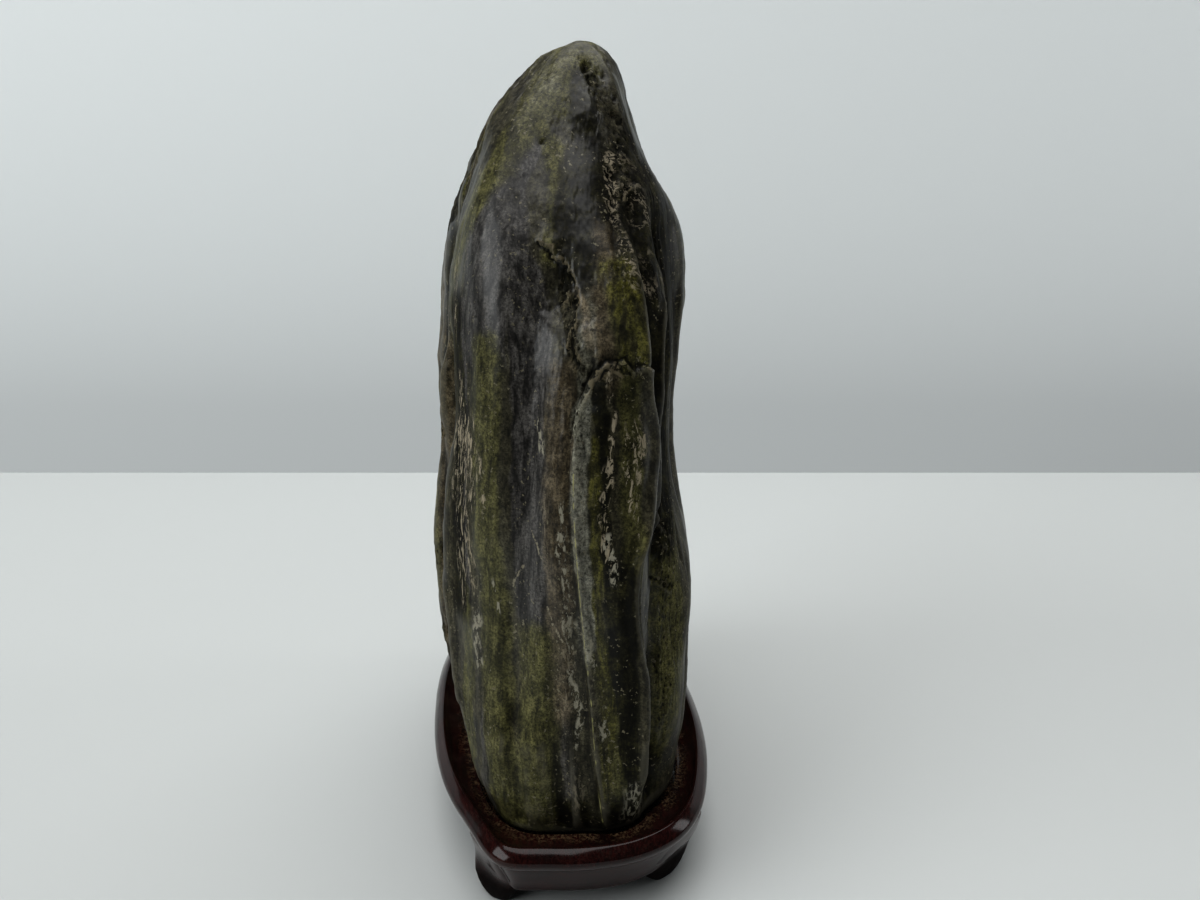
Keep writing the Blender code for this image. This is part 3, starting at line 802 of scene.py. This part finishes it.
def alongPath(path, surface):
    # signed distance to a path over the surface, above 0 on its left hand, and how far past its ends
    points, normals = surface.points, surface.normals
    spots = [surfaceSpot(surface, z, toBearing) for z, toBearing in path]
    side, beyond = np.full(len(points), 1000.0), np.zeros(len(points))
    room = 12.0
    low, high = points[spots].min(axis=0) - room, points[spots].max(axis=0) + room
    close = np.all((points > low) & (points < high), axis=1)
    here = points[close]
    best, bestSide, bestBeyond = np.full(len(here), 1000.0), side[close], beyond[close]
    bestClear = np.zeros(len(here))
    for k in range(len(spots) - 1):
        start, step = points[spots[k]], points[spots[k + 1]] - points[spots[k]]
        length = max(np.linalg.norm(step), 1e-3)
        leftHand = np.cross(normals[spots[k]] + normals[spots[k + 1]], step)
        leftHand = leftHand / max(np.linalg.norm(leftHand), 1e-6)
        share = (here - start) @ step / length ** 2
        offset = here - start - np.clip(share, 0, 1)[:, None] * step
        gap = np.linalg.norm(offset, axis=1)
        clear = offset @ leftHand
        closer = (gap < best - 1e-4) | ((gap < best + 1e-4) & (np.abs(clear) > np.abs(bestClear)))
        best = np.where(closer, gap, best)
        bestSide = np.where(closer, np.where(clear < 0, -gap, gap), bestSide)
        bestClear = np.where(closer, clear, bestClear)
        before = np.maximum(-share, 0) if k == 0 else 0.0
        after = np.maximum(share - 1, 0) if k == len(spots) - 2 else 0.0
        bestBeyond = np.where(closer, (before + after) * length, bestBeyond)
    side[close], beyond[close] = bestSide, bestBeyond
    return side, beyond


def refineFace(piece):
    # the narrow face gets twice the rows and columns
    surface = rockSurface(piece)
    middle, spread, lowest = rockValues["fineFace"]
    chosen = (np.abs(np.degrees(surface.bearing) - middle) < spread) & (surface.height > lowest)
    makeActive(piece)
    piece.data.vertices.foreach_set("select", chosen)
    piece.data.edges.foreach_set("select", np.zeros(len(piece.data.edges), dtype=bool))
    piece.data.polygons.foreach_set("select", np.zeros(len(piece.data.polygons), dtype=bool))
    bpy.ops.object.mode_set(mode="EDIT")
    bpy.ops.mesh.select_mode(type="VERT")
    bpy.ops.mesh.select_mode(type="FACE")
    bpy.ops.mesh.subdivide(number_cuts=1, smoothness=0.0)
    bpy.ops.object.mode_set(mode="OBJECT")


def rockNoise(name, places):
    return noiseAt(places, *rockValues["noises"][name])


def bandMasks(surface):
    values = rockValues
    shift = values["wander"] * rockNoise("wander", surface.points)
    nearAxis = 10.0
    shifted = surface.bearing + shift / np.maximum(surface.reach, nearAxis)
    masks = {}
    for name, strokes in values["bands"].items():
        fade = values["thinStrokeFade" if name in values["thinStrokes"] else "strokeFade"]
        parts = [strokeMask(stroke, surface, shifted, fade) for stroke in strokes]
        masks[name] = np.clip(np.max(parts, axis=0), 0.0, 1.0)
    return masks


def carvedLift(surface):
    # how far the crests, edges, grooves and hollows lift each corner, and its distance to a broken lip
    values = rockValues
    lift = np.zeros(len(surface.points))
    for rise, left, right, line in values["lines"].values():
        across = acrossLine(line, surface, surface.bearing)
        share = 1.0 - ease(np.abs(across) / np.where(across < 0, left, right) / values["lineSpread"])
        lift += rise * share ** values["sharpness"] * alongLine(line, surface.height, values["lineFade"])

    ragged = rockNoise("ragged", surface.points)
    lip = np.full(len(lift), float(values["farAway"]))
    undercut, underWidth = values["undercut"]
    for name, (rise, width, runOut, path) in values["edges"].items():
        clear, beyond = alongPath(path, surface)
        side = clear + values["ragged"] * ragged
        share = ease(side / width + 0.5) * np.clip(1.0 - side / runOut, 0.0, 1.0) ** values["sharpness"]
        share = share - undercut * np.exp(-((side + underWidth) / underWidth) ** 2)
        lift += rise * share * (np.abs(clear) < runOut) * ease(1.0 - beyond / values["endFade"])
        if name in values["tanLips"]:
            lip = np.where((np.abs(side) < np.abs(lip)) & (beyond < values["lipOverrun"]), side, lip)
    for rise, halfWidth, path in values["ribs"].values():
        clear, beyond = alongPath(path, surface)
        side = clear + 0.5 * values["ragged"] * ragged
        lift += rise * np.exp(-(side / halfWidth) ** 2) * ease(1.0 - beyond / values["endFade"])
    for depth, radius, upright, z, toBearing in values["hollows"].values():
        spot = surface.points[surfaceSpot(surface, z, toBearing)]
        gap = np.linalg.norm((surface.points - spot) / (1.0, 1.0, upright), axis=1) / radius
        lift -= depth * np.exp(-(gap * (1.0 + 0.25 * ragged)) ** values["hollowEdge"])
    return lift, lip


def makeRock():
    values = rockValues
    piece = copyNode("rock", "rockSkin")
    rounding = piece.modifiers.new("rounding", "SUBSURF")
    rounding.levels = rounding.render_levels = values["subdivisions"]
    makeActive(piece)
    bpy.ops.object.modifier_apply(modifier=rounding.name)
    refineFace(piece)
    print("rock rounded:", len(piece.data.polygons), "faces")

    surface = rockSurface(piece)
    flow = flowBearing(surface.height, surface.bearing)
    flowPoints = np.stack(
        [surface.reach * np.sin(flow), -surface.reach * np.cos(flow), surface.height], axis=-1
    )
    masks = bandMasks(surface)
    lift, lip = carvedLift(surface)

    elsewhere = softStep(np.abs(np.degrees(surface.bearing)), *values["sides"])
    for name, (strength, pattern, low, high) in values["sideBands"].items():
        drawn = rockNoise(pattern, surface.points if name == "rough" else flowPoints)
        masks[name] = np.maximum(masks[name], strength * elsewhere * softStep(drawn, low, high))
    dryness, low, high = values["dryFoot"]
    masks["dry"] = np.maximum(masks["dry"], dryness * (1.0 - softStep(surface.height, low, high)))

    broken = np.abs(rockNoise("broken", flowPoints))
    ledges = np.minimum(rockNoise("ledges", flowPoints), 0.1)
    lift += values["fluteDepth"] * rockNoise("flutes", flowPoints) * (0.6 + 1.2 * elsewhere)
    lift += values["lumpDepth"] * rockNoise("lumps", surface.points) * (0.5 + elsewhere)
    lift += masks["rough"] * values["roughDepth"] * (0.10 - 1.2 * broken + 0.8 * ledges)
    lift += values["grainDepth"] * rockNoise("grain", surface.points)

    lift *= softStep(surface.height, *values["footFade"]) * softStep(surface.reach, *values["poleFade"])
    surface.points = surface.points + surface.normals * lift[:, None]
    knee = cadBox[1][2] * 1000.0 - values["peakRoom"] - values["peakSoft"]
    z = surface.points[:, 2]
    flattened = knee + values["peakSoft"] * (1.0 - np.exp((knee - z) / values["peakSoft"]))
    surface.points[:, 2] = np.where(z > knee, flattened, z)
    placeCorners(piece, surface.points / 1000.0)

    keepVector(piece, "flow", flowPoints / 1000.0)
    for name, mask in masks.items():
        keepValue(piece, name, mask)
    keepValue(piece, "lipSide", lip)
    side, beyond = alongPath(values["vein"], surface)
    keepValue(piece, "veinSide", np.abs(side) + beyond)
    crackSide = np.full(len(lift), float(values["farAway"]))
    for crack in values["cracks"]:
        side, beyond = alongPath(crack, surface)
        crackSide = np.minimum(crackSide, np.abs(side) + 3.0 * beyond)
    keepValue(piece, "crackSide", crackSide)
    keepValue(piece, "standsOut", convexity(piece, 6))
    keepValue(piece, "broadOut", convexity(piece, 45))
    piece.data.shade_smooth()
    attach(piece, "root")
    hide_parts("rock")
    print("rock sculpted:", len(lift), "corners")
    return piece


def stoneMaterial():
    values, colours = rockValues, rockValues["colours"]
    material, tree, shader = newMaterial("waxedRiverStone")
    place, flow = objectPlace(tree), kept(tree, "flow", "Vector")
    streaks = cloud(stretch(flow, 1.0, 1.0, 0.13), 480.0, 8.0, 0.68, 0.4)
    broad = cloud(stretch(flow, 1.0, 1.0, 0.22), 130.0, 6.0, 0.62, 0.3)
    mottle = cloud(place, 210.0, 8.0, 0.68)
    grit = cloud(place, 1250.0, 5.0, 0.74)
    speck = cloud(place, 780.0, 3.0, 0.55)
    patterns = {"streaks": streaks, "mottle": mottle}

    def bandShare(name, low, high, wobble):
        # a band's mask with its edge broken up along the flow
        moved = plus(swing(broad, wobble * 1.4), swing(mottle, wobble))
        return rangeOf(plus(kept(tree, name), moved), low, high)

    # plain stone: brown-grey, clouded, then the bands
    colour = blend(rangeOf(mottle, 0.36, 0.64), colours["plainDark"], colours["plainLight"])
    for name, (share, low, high, wobble, pattern, start, end, dark, light) in values["tones"].items():
        band = bandShare(name, low, high, wobble)
        if name == "yellow":
            band = times(band, rangeOf(streaks, 0.38, 0.60, 0.35, 1.0))
        colour = blend(times(band, share), colour, blend(rangeOf(patterns[pattern], start, end), dark, light))
    colour = blend(times(bandShare("pink", 0.3, 0.8, 0.5), 0.9), colour, colours["pink"])

    # streaks and fine mottling over everything; painted shade darkens the broad hollows and the creases, and
    # a painted highlight with some wear pales the ridges
    colour = blend(1.0, colour, rangeOf(streaks, 0.34, 0.62, 0.50, 1.40), "MULTIPLY")
    colour = blend(1.0, colour, rangeOf(grit, 0.36, 0.64, 0.50, 1.65), "MULTIPLY")
    colour = blend(rangeOf(speck, 0.335, 0.375, 0.65, 0.0), colour, colours["pore"])
    for name, low, high, toLow, toHigh, tone in (
        ("broadOut", -1.10, -0.10, 0.75, 0.0, "valleyShade"),
        ("standsOut", -0.36, -0.08, 0.65, 0.0, "creaseShade"),
        ("standsOut", 0.14, 0.40, 0.0, 0.40, "ridgeHighlightAndWear"),
    ):
        colour = blend(rangeOf(kept(tree, name), low, high, toLow, toHigh), colour, colours[tone])

    # rough places: dark pits with tan crumbs between
    pitted = cells(stretch(place, 1.0, 1.0, 0.65), 620.0)
    rough = bandShare("rough", 0.3, 0.7, 0.7)
    pits = times(rangeOf(pitted, 0.14, 0.38, 1.0, 0.0), rough)
    crumbled = cloud(stretch(flow, 1.0, 1.0, 0.30), 760.0, 6.0, 0.75)
    crumbs = times(rangeOf(crumbled, 0.56, 0.64), rough)
    colour = blend(times(crumbs, 0.62), colour, colours["crumb"])
    colour = blend(times(pits, 0.88), colour, colours["pit"])

    # broken edges: a tan lip, broken stone's colour with a painted highlight where it faces up, and a painted
    # shadow line under it
    lip = plus(kept(tree, "lipSide"), swing(speck, 2.4))
    lipTanAndHighlight = times(rangeOf(lip, -0.15, 0.10), rangeOf(lip, 0.55, 1.15, 1.0, 0.0))
    lipTanAndHighlight = times(lipTanAndHighlight, rangeOf(mottle, 0.44, 0.56))
    shadowUnderLip = times(rangeOf(lip, -1.5, -0.8), rangeOf(lip, -0.35, -0.05, 1.0, 0.0))
    colour = blend(times(shadowUnderLip, 0.8), colour, colours["lipShadow"])
    colour = blend(times(lipTanAndHighlight, 0.70), colour, colours["lip"])

    # tan dashes that run up the rock, pale chalky scabs, and loose pale specks
    dashNoise = cloud(stretch(flow, 1.0, 1.0, 0.20), 1000.0, 5.0, 0.70, 0.6)
    dashField = plus(kept(tree, "dashes"), swing(broad, 1.6))
    dashes = times(rangeOf(dashNoise, 0.530, 0.556), rangeOf(dashField, 0.35, 0.75))
    colour = blend(times(dashes, 0.85), colour, colours["dash"])
    chalkNoise = cloud(stretch(flow, 1.0, 1.0, 0.5), 620.0, 5.0, 0.7, 0.4)
    chalk = times(rangeOf(chalkNoise, 0.500, 0.535), rangeOf(kept(tree, "chalk"), 0.25, 0.75))
    colour = blend(times(chalk, 0.9), colour, colours["chalk"])
    looseSpecks = times(rangeOf(speck, 0.632, 0.658, 0.0, 0.9), rangeOf(broad, 0.44, 0.56))
    colour = blend(looseSpecks, colour, colours["speck"])

    # the vein, the cracks and the dust
    veinLine = rangeOf(kept(tree, "veinSide"), 0.12, 0.34, 1.0, 0.0)
    vein = times(veinLine, rangeOf(streaks, 0.30, 0.44, 0.55, 1.0))
    colour = blend(times(vein, 0.85), colour, colours["vein"])
    crackSide = plus(kept(tree, "crackSide"), swing(speck, 2.0))
    crack = rangeOf(crackSide, 0.16, 0.46, 1.0, 0.0)
    colour = blend(times(crack, 0.85), colour, colours["crack"])
    dust = useGroup(tree, settledDust, Vector=place, Amount=values["dust"])
    feed(shader.inputs["Base Color"], blend(dust, colour, colours["dust"]))

    # waxed where it is handled, dry in the rough and on the scabs
    dryness = most(kept(tree, "dry"), rough)
    dryness = most(dryness, times(kept(tree, "olive"), 0.55), True)
    dryness = most(dryness, most(chalk, dashes), True)
    gloss = plus(rangeOf(grit, 0.30, 0.70, *values["roughness"]), times(dryness, 0.26), True)
    feed(shader.inputs["Roughness"], gloss)
    feed(shader.inputs["Coat Weight"], rangeOf(dryness, 0.0, 1.0, *values["wax"]))
    shader.inputs["Specular IOR Level"].default_value = values["specular"]
    shader.inputs["Coat Roughness"].default_value = values["waxRoughness"]

    grain = useGroup(tree, fineGrain, Vector=place, Long=stretch(flow, 900.0, 900.0, 120.0), Share=0.5)
    relief = plus(grain, times(grit, 0.45))
    relief = minus(relief, times(pits, 1.8))
    relief = plus(relief, times(crumbs, 0.9))
    relief = plus(relief, times(lipTanAndHighlight, 0.8))
    relief = minus(relief, times(most(crack, shadowUnderLip), 1.2))
    relief = plus(relief, times(most(dashes, chalk), 0.5))
    addRelief(shader, relief, *values["relief"])
    return material


rock = makeRock()
rock.data.materials.append(stoneMaterial())
print("rock finished")


# The stand is an oval of squared sides with four soft corners, cut along one profile all round.
# Its measures are in millimetres too, and its bearings run round its own middle.
standValues = {
    "halfWidth": 50.5,
    "halfLength": 91,
    "squareness": 2.35,
    "columns": 240,
    # how far each soft corner stands out, its spread and its bearing in degrees
    "corners": ((5, 7, -19), (2, 12, 23), (3, 10, 160), (3, 10, -158)),
    "seatFloor": 22,
    # height at which the frame's stand shows the outline of the recess
    "seatLevel": 26.2,
    # the faint unevenness of hand work: its depth, its waves per metre across and up, octaves and seed,
    # and where it fades in above the ground and outside the seat
    "handWork": 0.07,
    "handWorkNoise": (90, 160, 2, 21),
    "groundFade": (1, 5),
    "seatFade": (0.5, 3.5),
    # brown dust lies between these heights and fades over this distance from the seat
    "dustLevel": (21.5, 28.2),
    "dustFade": (1, 7),
    # the dull low part fades out between these heights
    "lowPartFade": (7, 13),
    # inset from the widest outline and height, from the underside up over the rim
    "profile": (
        (10.6, 9.8), (9.2, 9.8), (8.4, 10), (7.9, 10.4), (7.7, 10.9), (7.6, 11.5), (7.3, 12.5),
        (6.6, 14.2), (5.6, 16.5), (4.6, 19), (3.8, 20.8), (3.5, 21.7), (3.4, 22.2), (2.8, 22.5), (1.9, 23),
        (1, 23.8), (0.4, 24.7), (0.1, 25.6), (0, 26.4), (0.2, 27.1), (0.7, 27.8), (1.3, 28.5), (2, 29.15),
        (2.6, 29.65), (3, 29.92), (3.3, 30), (3.6, 29.93), (4, 29.7),
    ),
    # share of the way from the rim to the rock's seat, and height
    "dish": (
        (0.05, 29), (0.12, 28.4), (0.22, 27.8), (0.34, 27.3), (0.48, 26.8), (0.62, 26.4), (0.76, 26.1),
        (0.88, 26.05), (0.96, 26.1), (0.99, 26), (1, 25.6), (1, 24),
    ),
    "footColumns": 56,
    "footSquareness": 0.55,
    # height, half length along the rim, half depth, outward shift of a foot, from the ground up
    "footProfile": (
        (0, 4.2, 3.4, 1.2), (0.3, 4.7, 3.9, 1.2), (1.8, 6.4, 5, 0.8), (3.5, 8.2, 5.8, 0.5),
        (5.5, 10.1, 6.4, 0.2), (7.5, 11.8, 6.7, 0), (9.5, 12.9, 6.7, -0.4), (11.5, 13.4, 6.3, 0),
        (13.8, 13.4, 5.6, 1.1), (16.5, 12.9, 4.7, 2.7), (19, 12.1, 3.9, 4.2), (21, 11.3, 3.3, 5.3),
        (23.2, 10.4, 3, 5.5),
    ),
    # a foot turns on its way down from this height, and its top is set out from between these heights up
    "footTurnFrom": 13.8,
    "footSetOut": (6.5, 14.5),
    # x, y, the bearing that the foot faces, how far it turns on its way down, share of the usual length,
    # how far its top is set out
    "feet": (
        (-26.8, -67.5, -60, 30, 0.80, 0), (24.1, -65.1, 43, -12, 1, 3.1),
        (25.8, 65.5, 130, 12, 1, 1.2), (-25.8, 65.5, -130, -12, 1, 1.4),
    ),
    "edgeAngle": 42,
    "colours": {
        "lacquerDark": (0.0105, 0.0021, 0.0019), "lacquerLight": (0.0350, 0.0076, 0.0064),
        "cloud": (0.0035, 0.0020, 0.0018), "rubbedEdge": (0.050, 0.018, 0.012),
        # the gap colour is painted shade in the grooves and inner corners
        "lowPart": (0.0018, 0.0011, 0.0010), "gap": (0.0015, 0.0010, 0.0008),
        "cakedDust": (0.150, 0.100, 0.055), "dust": (0.110, 0.095, 0.075),
    },
    "dust": 0.10,
    "specular": 0.05,
    "roughness": (0.12, 0.24),
    # coat of lacquer on the rim and on the low parts
    "lacquer": (0.60, 0.04),
    "lacquerRoughness": 0.12,
    # strength of the fine relief, and its height in metres
    "relief": (0.22, 0.00012),
}


def loftedSolid(name, rings):
    # a disc drawn up ring by ring, and each ring then set on its own outline
    columns = len(rings[0])
    deselectAll()
    bpy.ops.mesh.primitive_circle_add(vertices=columns, radius=1.0, fill_type="NGON")
    piece = bpy.context.object
    piece.name = piece.data.name = name
    bpy.ops.object.mode_set(mode="EDIT")
    bpy.ops.mesh.select_all(action="SELECT")
    for _ in rings[1:]:
        bpy.ops.mesh.extrude_region_move(TRANSFORM_OT_translate={"value": (0.0, 0.0, 1.0)})
    bpy.ops.mesh.select_all(action="SELECT")
    bpy.ops.mesh.normals_make_consistent(inside=False)
    bpy.ops.object.mode_set(mode="OBJECT")
    x, y, z = readCorners(piece, "co").T
    ring = np.rint(z).astype(int)
    column = np.rint(np.arctan2(x, -y) / (2 * np.pi) * columns).astype(int) % columns
    placeCorners(piece, np.array(rings)[ring, column] / 1000.0)
    return piece


def squared(wave, power):
    # a sine or cosine pressed towards 1 and -1, which squares an oval
    return np.sign(wave) * np.abs(wave) ** power


def levelRing(places, z):
    return np.column_stack([places, np.full(len(places), float(z))])


def standReach(turns):
    # distance from the middle of the stand to its widest outline, along each bearing
    values = standValues
    around = np.linspace(0, 2 * np.pi, 1441)
    power = 2 / values["squareness"]
    x = values["halfWidth"] * squared(np.sin(around), power)
    y = -values["halfLength"] * squared(np.cos(around), power)
    bearings = np.unwrap(np.arctan2(x, -y))
    reach = np.interp(np.mod(turns, 2 * np.pi), bearings, np.hypot(x, y))
    for out, spread, toBearing in values["corners"]:
        gap = shorterWay(turns - math.radians(toBearing))
        reach = reach + out * np.exp(-(gap / math.radians(spread)) ** 2)
    return reach


def seatReach(turns):
    # the recess round the rock's foot, read from the frame's stand
    places = readCorners(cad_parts["stand"], "co") * 1000.0
    places = places[np.abs(places[:, 2] - standValues["seatLevel"]) < 0.05]
    bearings = np.mod(np.arctan2(places[:, 0], -places[:, 1]), 2 * np.pi)
    bearings, first = np.unique(np.round(bearings, 5), return_index=True)
    reach = np.hypot(places[first, 0], places[first, 1])
    bearings = np.concatenate([bearings[-3:] - 2 * np.pi, bearings, bearings[:3] + 2 * np.pi])
    reach = np.concatenate([reach[-3:], reach, reach[:3]])
    return smoothThrough(bearings, reach, np.mod(turns, 2 * np.pi))


def evenTurns(count):
    # bearings that space the columns evenly along the outline
    turns = np.linspace(0, 2 * np.pi, 2881)
    reach = standReach(turns)
    steps = np.hypot(np.diff(reach * np.sin(turns)), np.diff(reach * np.cos(turns)))
    travelled = np.concatenate([[0], np.cumsum(steps)])
    return np.interp(np.arange(count) / count * travelled[-1], travelled, turns)


def standRings(turns):
    values = standValues
    reach = standReach(turns)
    slope = (standReach(turns + 0.01) - standReach(turns - 0.01)) / 0.02
    outward = turns - np.arctan2(slope, reach)
    seat = seatReach(turns)
    seat = np.stack([seat * np.sin(turns), -seat * np.cos(turns)], axis=-1)
    rings = []
    for inset, z in values["profile"]:
        x = reach * np.sin(turns) - inset * np.sin(outward)
        y = -reach * np.cos(turns) + inset * np.cos(outward)
        rings.append(levelRing(np.stack([x, y], axis=-1), z))
    crest = rings[-1][:, :2]
    for share, z in values["dish"]:
        rings.append(levelRing(crest + (seat - crest) * share, z))
    rings.append(levelRing(seat, values["seatFloor"]))
    return rings


def footRings(x, y, facing, twist, lengthShare, setOut):
    values = standValues
    around = np.linspace(0, 2 * np.pi, values["footColumns"], endpoint=False)
    power = values["footSquareness"]
    rings = []
    for z, halfLength, halfDepth, shift in values["footProfile"]:
        turn = math.radians(facing + twist * max(0.0, 1.0 - z / values["footTurnFrom"]))
        outward, along = (math.sin(turn), -math.cos(turn)), (math.cos(turn), math.sin(turn))
        side = halfLength * lengthShare * squared(np.sin(around), power)
        deep = halfDepth * squared(np.cos(around), power)
        out = shift + deep + setOut * softStep(z, *values["footSetOut"])
        rings.append(levelRing(np.array([x, y]) + np.outer(side, along) + np.outer(out, outward), z))
    return rings


def makeStand():
    values = standValues
    piece = loftedSolid("carvedStand", standRings(evenTurns(values["columns"])))
    for number, place in enumerate(values["feet"]):
        foot = loftedSolid("foot%d" % number, footRings(*place))
        joining = piece.modifiers.new("joining", "BOOLEAN")
        joining.operation = "UNION"
        joining.solver = "EXACT"
        joining.object = foot
        makeActive(piece)
        bpy.ops.object.modifier_apply(modifier=joining.name)
        bpy.data.objects.remove(foot)
    makeActive(piece)
    bpy.ops.object.mode_set(mode="EDIT")
    bpy.ops.mesh.select_all(action="SELECT")
    bpy.ops.mesh.remove_doubles(threshold=0.00002)
    bpy.ops.mesh.normals_make_consistent(inside=False)
    bpy.ops.object.mode_set(mode="OBJECT")

    points, normals = readCorners(piece, "co") * 1000.0, readCorners(piece, "normal")
    turns = np.arctan2(points[:, 0], -points[:, 1])
    seat = seatReach(turns)
    worked = noiseAt(points, *values["handWorkNoise"]) * softStep(points[:, 2], *values["groundFade"])
    room = softStep(np.hypot(points[:, 0], points[:, 1]) - seat, *values["seatFade"])
    points = points + normals * (values["handWork"] * worked * room)[:, None]
    low, high = np.array(cadBox) * 1000.0
    points = np.clip(points, low + 0.01, high - 0.01)
    placeCorners(piece, points / 1000.0)

    past = np.hypot(points[:, 0], points[:, 1]) - seat
    low, high = values["dustLevel"]
    level = (points[:, 2] > low) & (points[:, 2] < high)
    keepValue(piece, "nearSeat", np.where(level, 1.0 - softStep(past, *values["dustFade"]), 0.0))
    keepValue(piece, "standsOut", convexity(piece, 4))
    keepValue(piece, "lowPart", 1.0 - softStep(points[:, 2], *values["lowPartFade"]))
    wayRound = np.stack([0.05 * np.sin(turns), -0.05 * np.cos(turns), points[:, 2] / 1000.0], axis=-1)
    keepVector(piece, "grainWay", wayRound)
    makeActive(piece)
    bpy.ops.object.shade_smooth_by_angle(angle=math.radians(values["edgeAngle"]))
    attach(piece, "root")
    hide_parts("stand")
    print("stand carved:", len(points), "corners")
    return piece


def lacquerMaterial():
    values, colours = standValues, standValues["colours"]
    material, tree, shader = newMaterial("darkLacqueredWood")
    place, grainWay = objectPlace(tree), kept(tree, "grainWay", "Vector")
    lowPart, standsOut = kept(tree, "lowPart"), kept(tree, "standsOut")
    grain = cloud(stretch(place, 1.0, 0.10, 1.0), 900.0, 6.0, 0.65, 0.4)
    clouds = cloud(place, 120.0, 5.0, 0.6)
    wear = cloud(place, 1300.0, 5.0, 0.7)
    colour = blend(rangeOf(grain, 0.35, 0.68), colours["lacquerDark"], colours["lacquerLight"])
    colour = blend(rangeOf(clouds, 0.40, 0.70, 0.0, 0.5), colour, colours["cloud"])
    edge = rangeOf(plus(standsOut, swing(wear, 0.16)), 0.30, 0.55)
    colour = blend(times(edge, 0.30), colour, colours["rubbedEdge"])
    colour = blend(times(lowPart, 0.85), colour, colours["lowPart"])
    # painted shade: grooves, inner corners and the seat's edge, where the surface curves in, are darkened
    colour = blend(rangeOf(standsOut, -0.30, -0.10, 0.5, 0.0), colour, colours["gap"])

    # brown dust caked round the rock's foot, and a little loose dust on top
    dustNoise = cloud(place, 1100.0, 6.0, 0.75)
    dustPatch = cloud(place, 210.0, 4.0, 0.6)
    caked = times(rangeOf(dustNoise, 0.44, 0.60), rangeOf(dustPatch, 0.36, 0.56))
    caked = times(caked, kept(tree, "nearSeat"))
    colour = blend(times(caked, 0.85), colour, colours["cakedDust"])
    dust = useGroup(tree, settledDust, Vector=place, Amount=values["dust"], Grain=1400.0)
    feed(shader.inputs["Base Color"], blend(dust, colour, colours["dust"]))

    smear = rangeOf(cloud(place, 260.0, 6.0, 0.7, 0.5), 0.35, 0.75, *values["roughness"])
    gloss = plus(plus(smear, times(lowPart, 0.45)), times(edge, 0.15))
    feed(shader.inputs["Roughness"], plus(gloss, times(caked, 0.5), True))
    shine = minus(rangeOf(lowPart, 0.0, 1.0, *values["lacquer"]), times(caked, 0.7), True)
    feed(shader.inputs["Coat Weight"], shine)
    shader.inputs["Specular IOR Level"].default_value = values["specular"]
    shader.inputs["Coat Roughness"].default_value = values["lacquerRoughness"]

    longGrain = stretch(grainWay, 700.0, 700.0, 1100.0)
    lines = useGroup(tree, fineGrain, Vector=place, Long=longGrain, Share=0.4)
    scratches = rangeOf(cloud(stretch(place, 1.0, 0.06, 1.0), 2200.0, 2.0, 0.5), 0.66, 0.72)
    relief = minus(lines, times(scratches, 0.35))
    relief = plus(relief, times(caked, 1.2))
    addRelief(shader, relief, *values["relief"])
    return material


stand = makeStand()
stand.data.materials.append(lacquerMaterial())
print("stand finished")
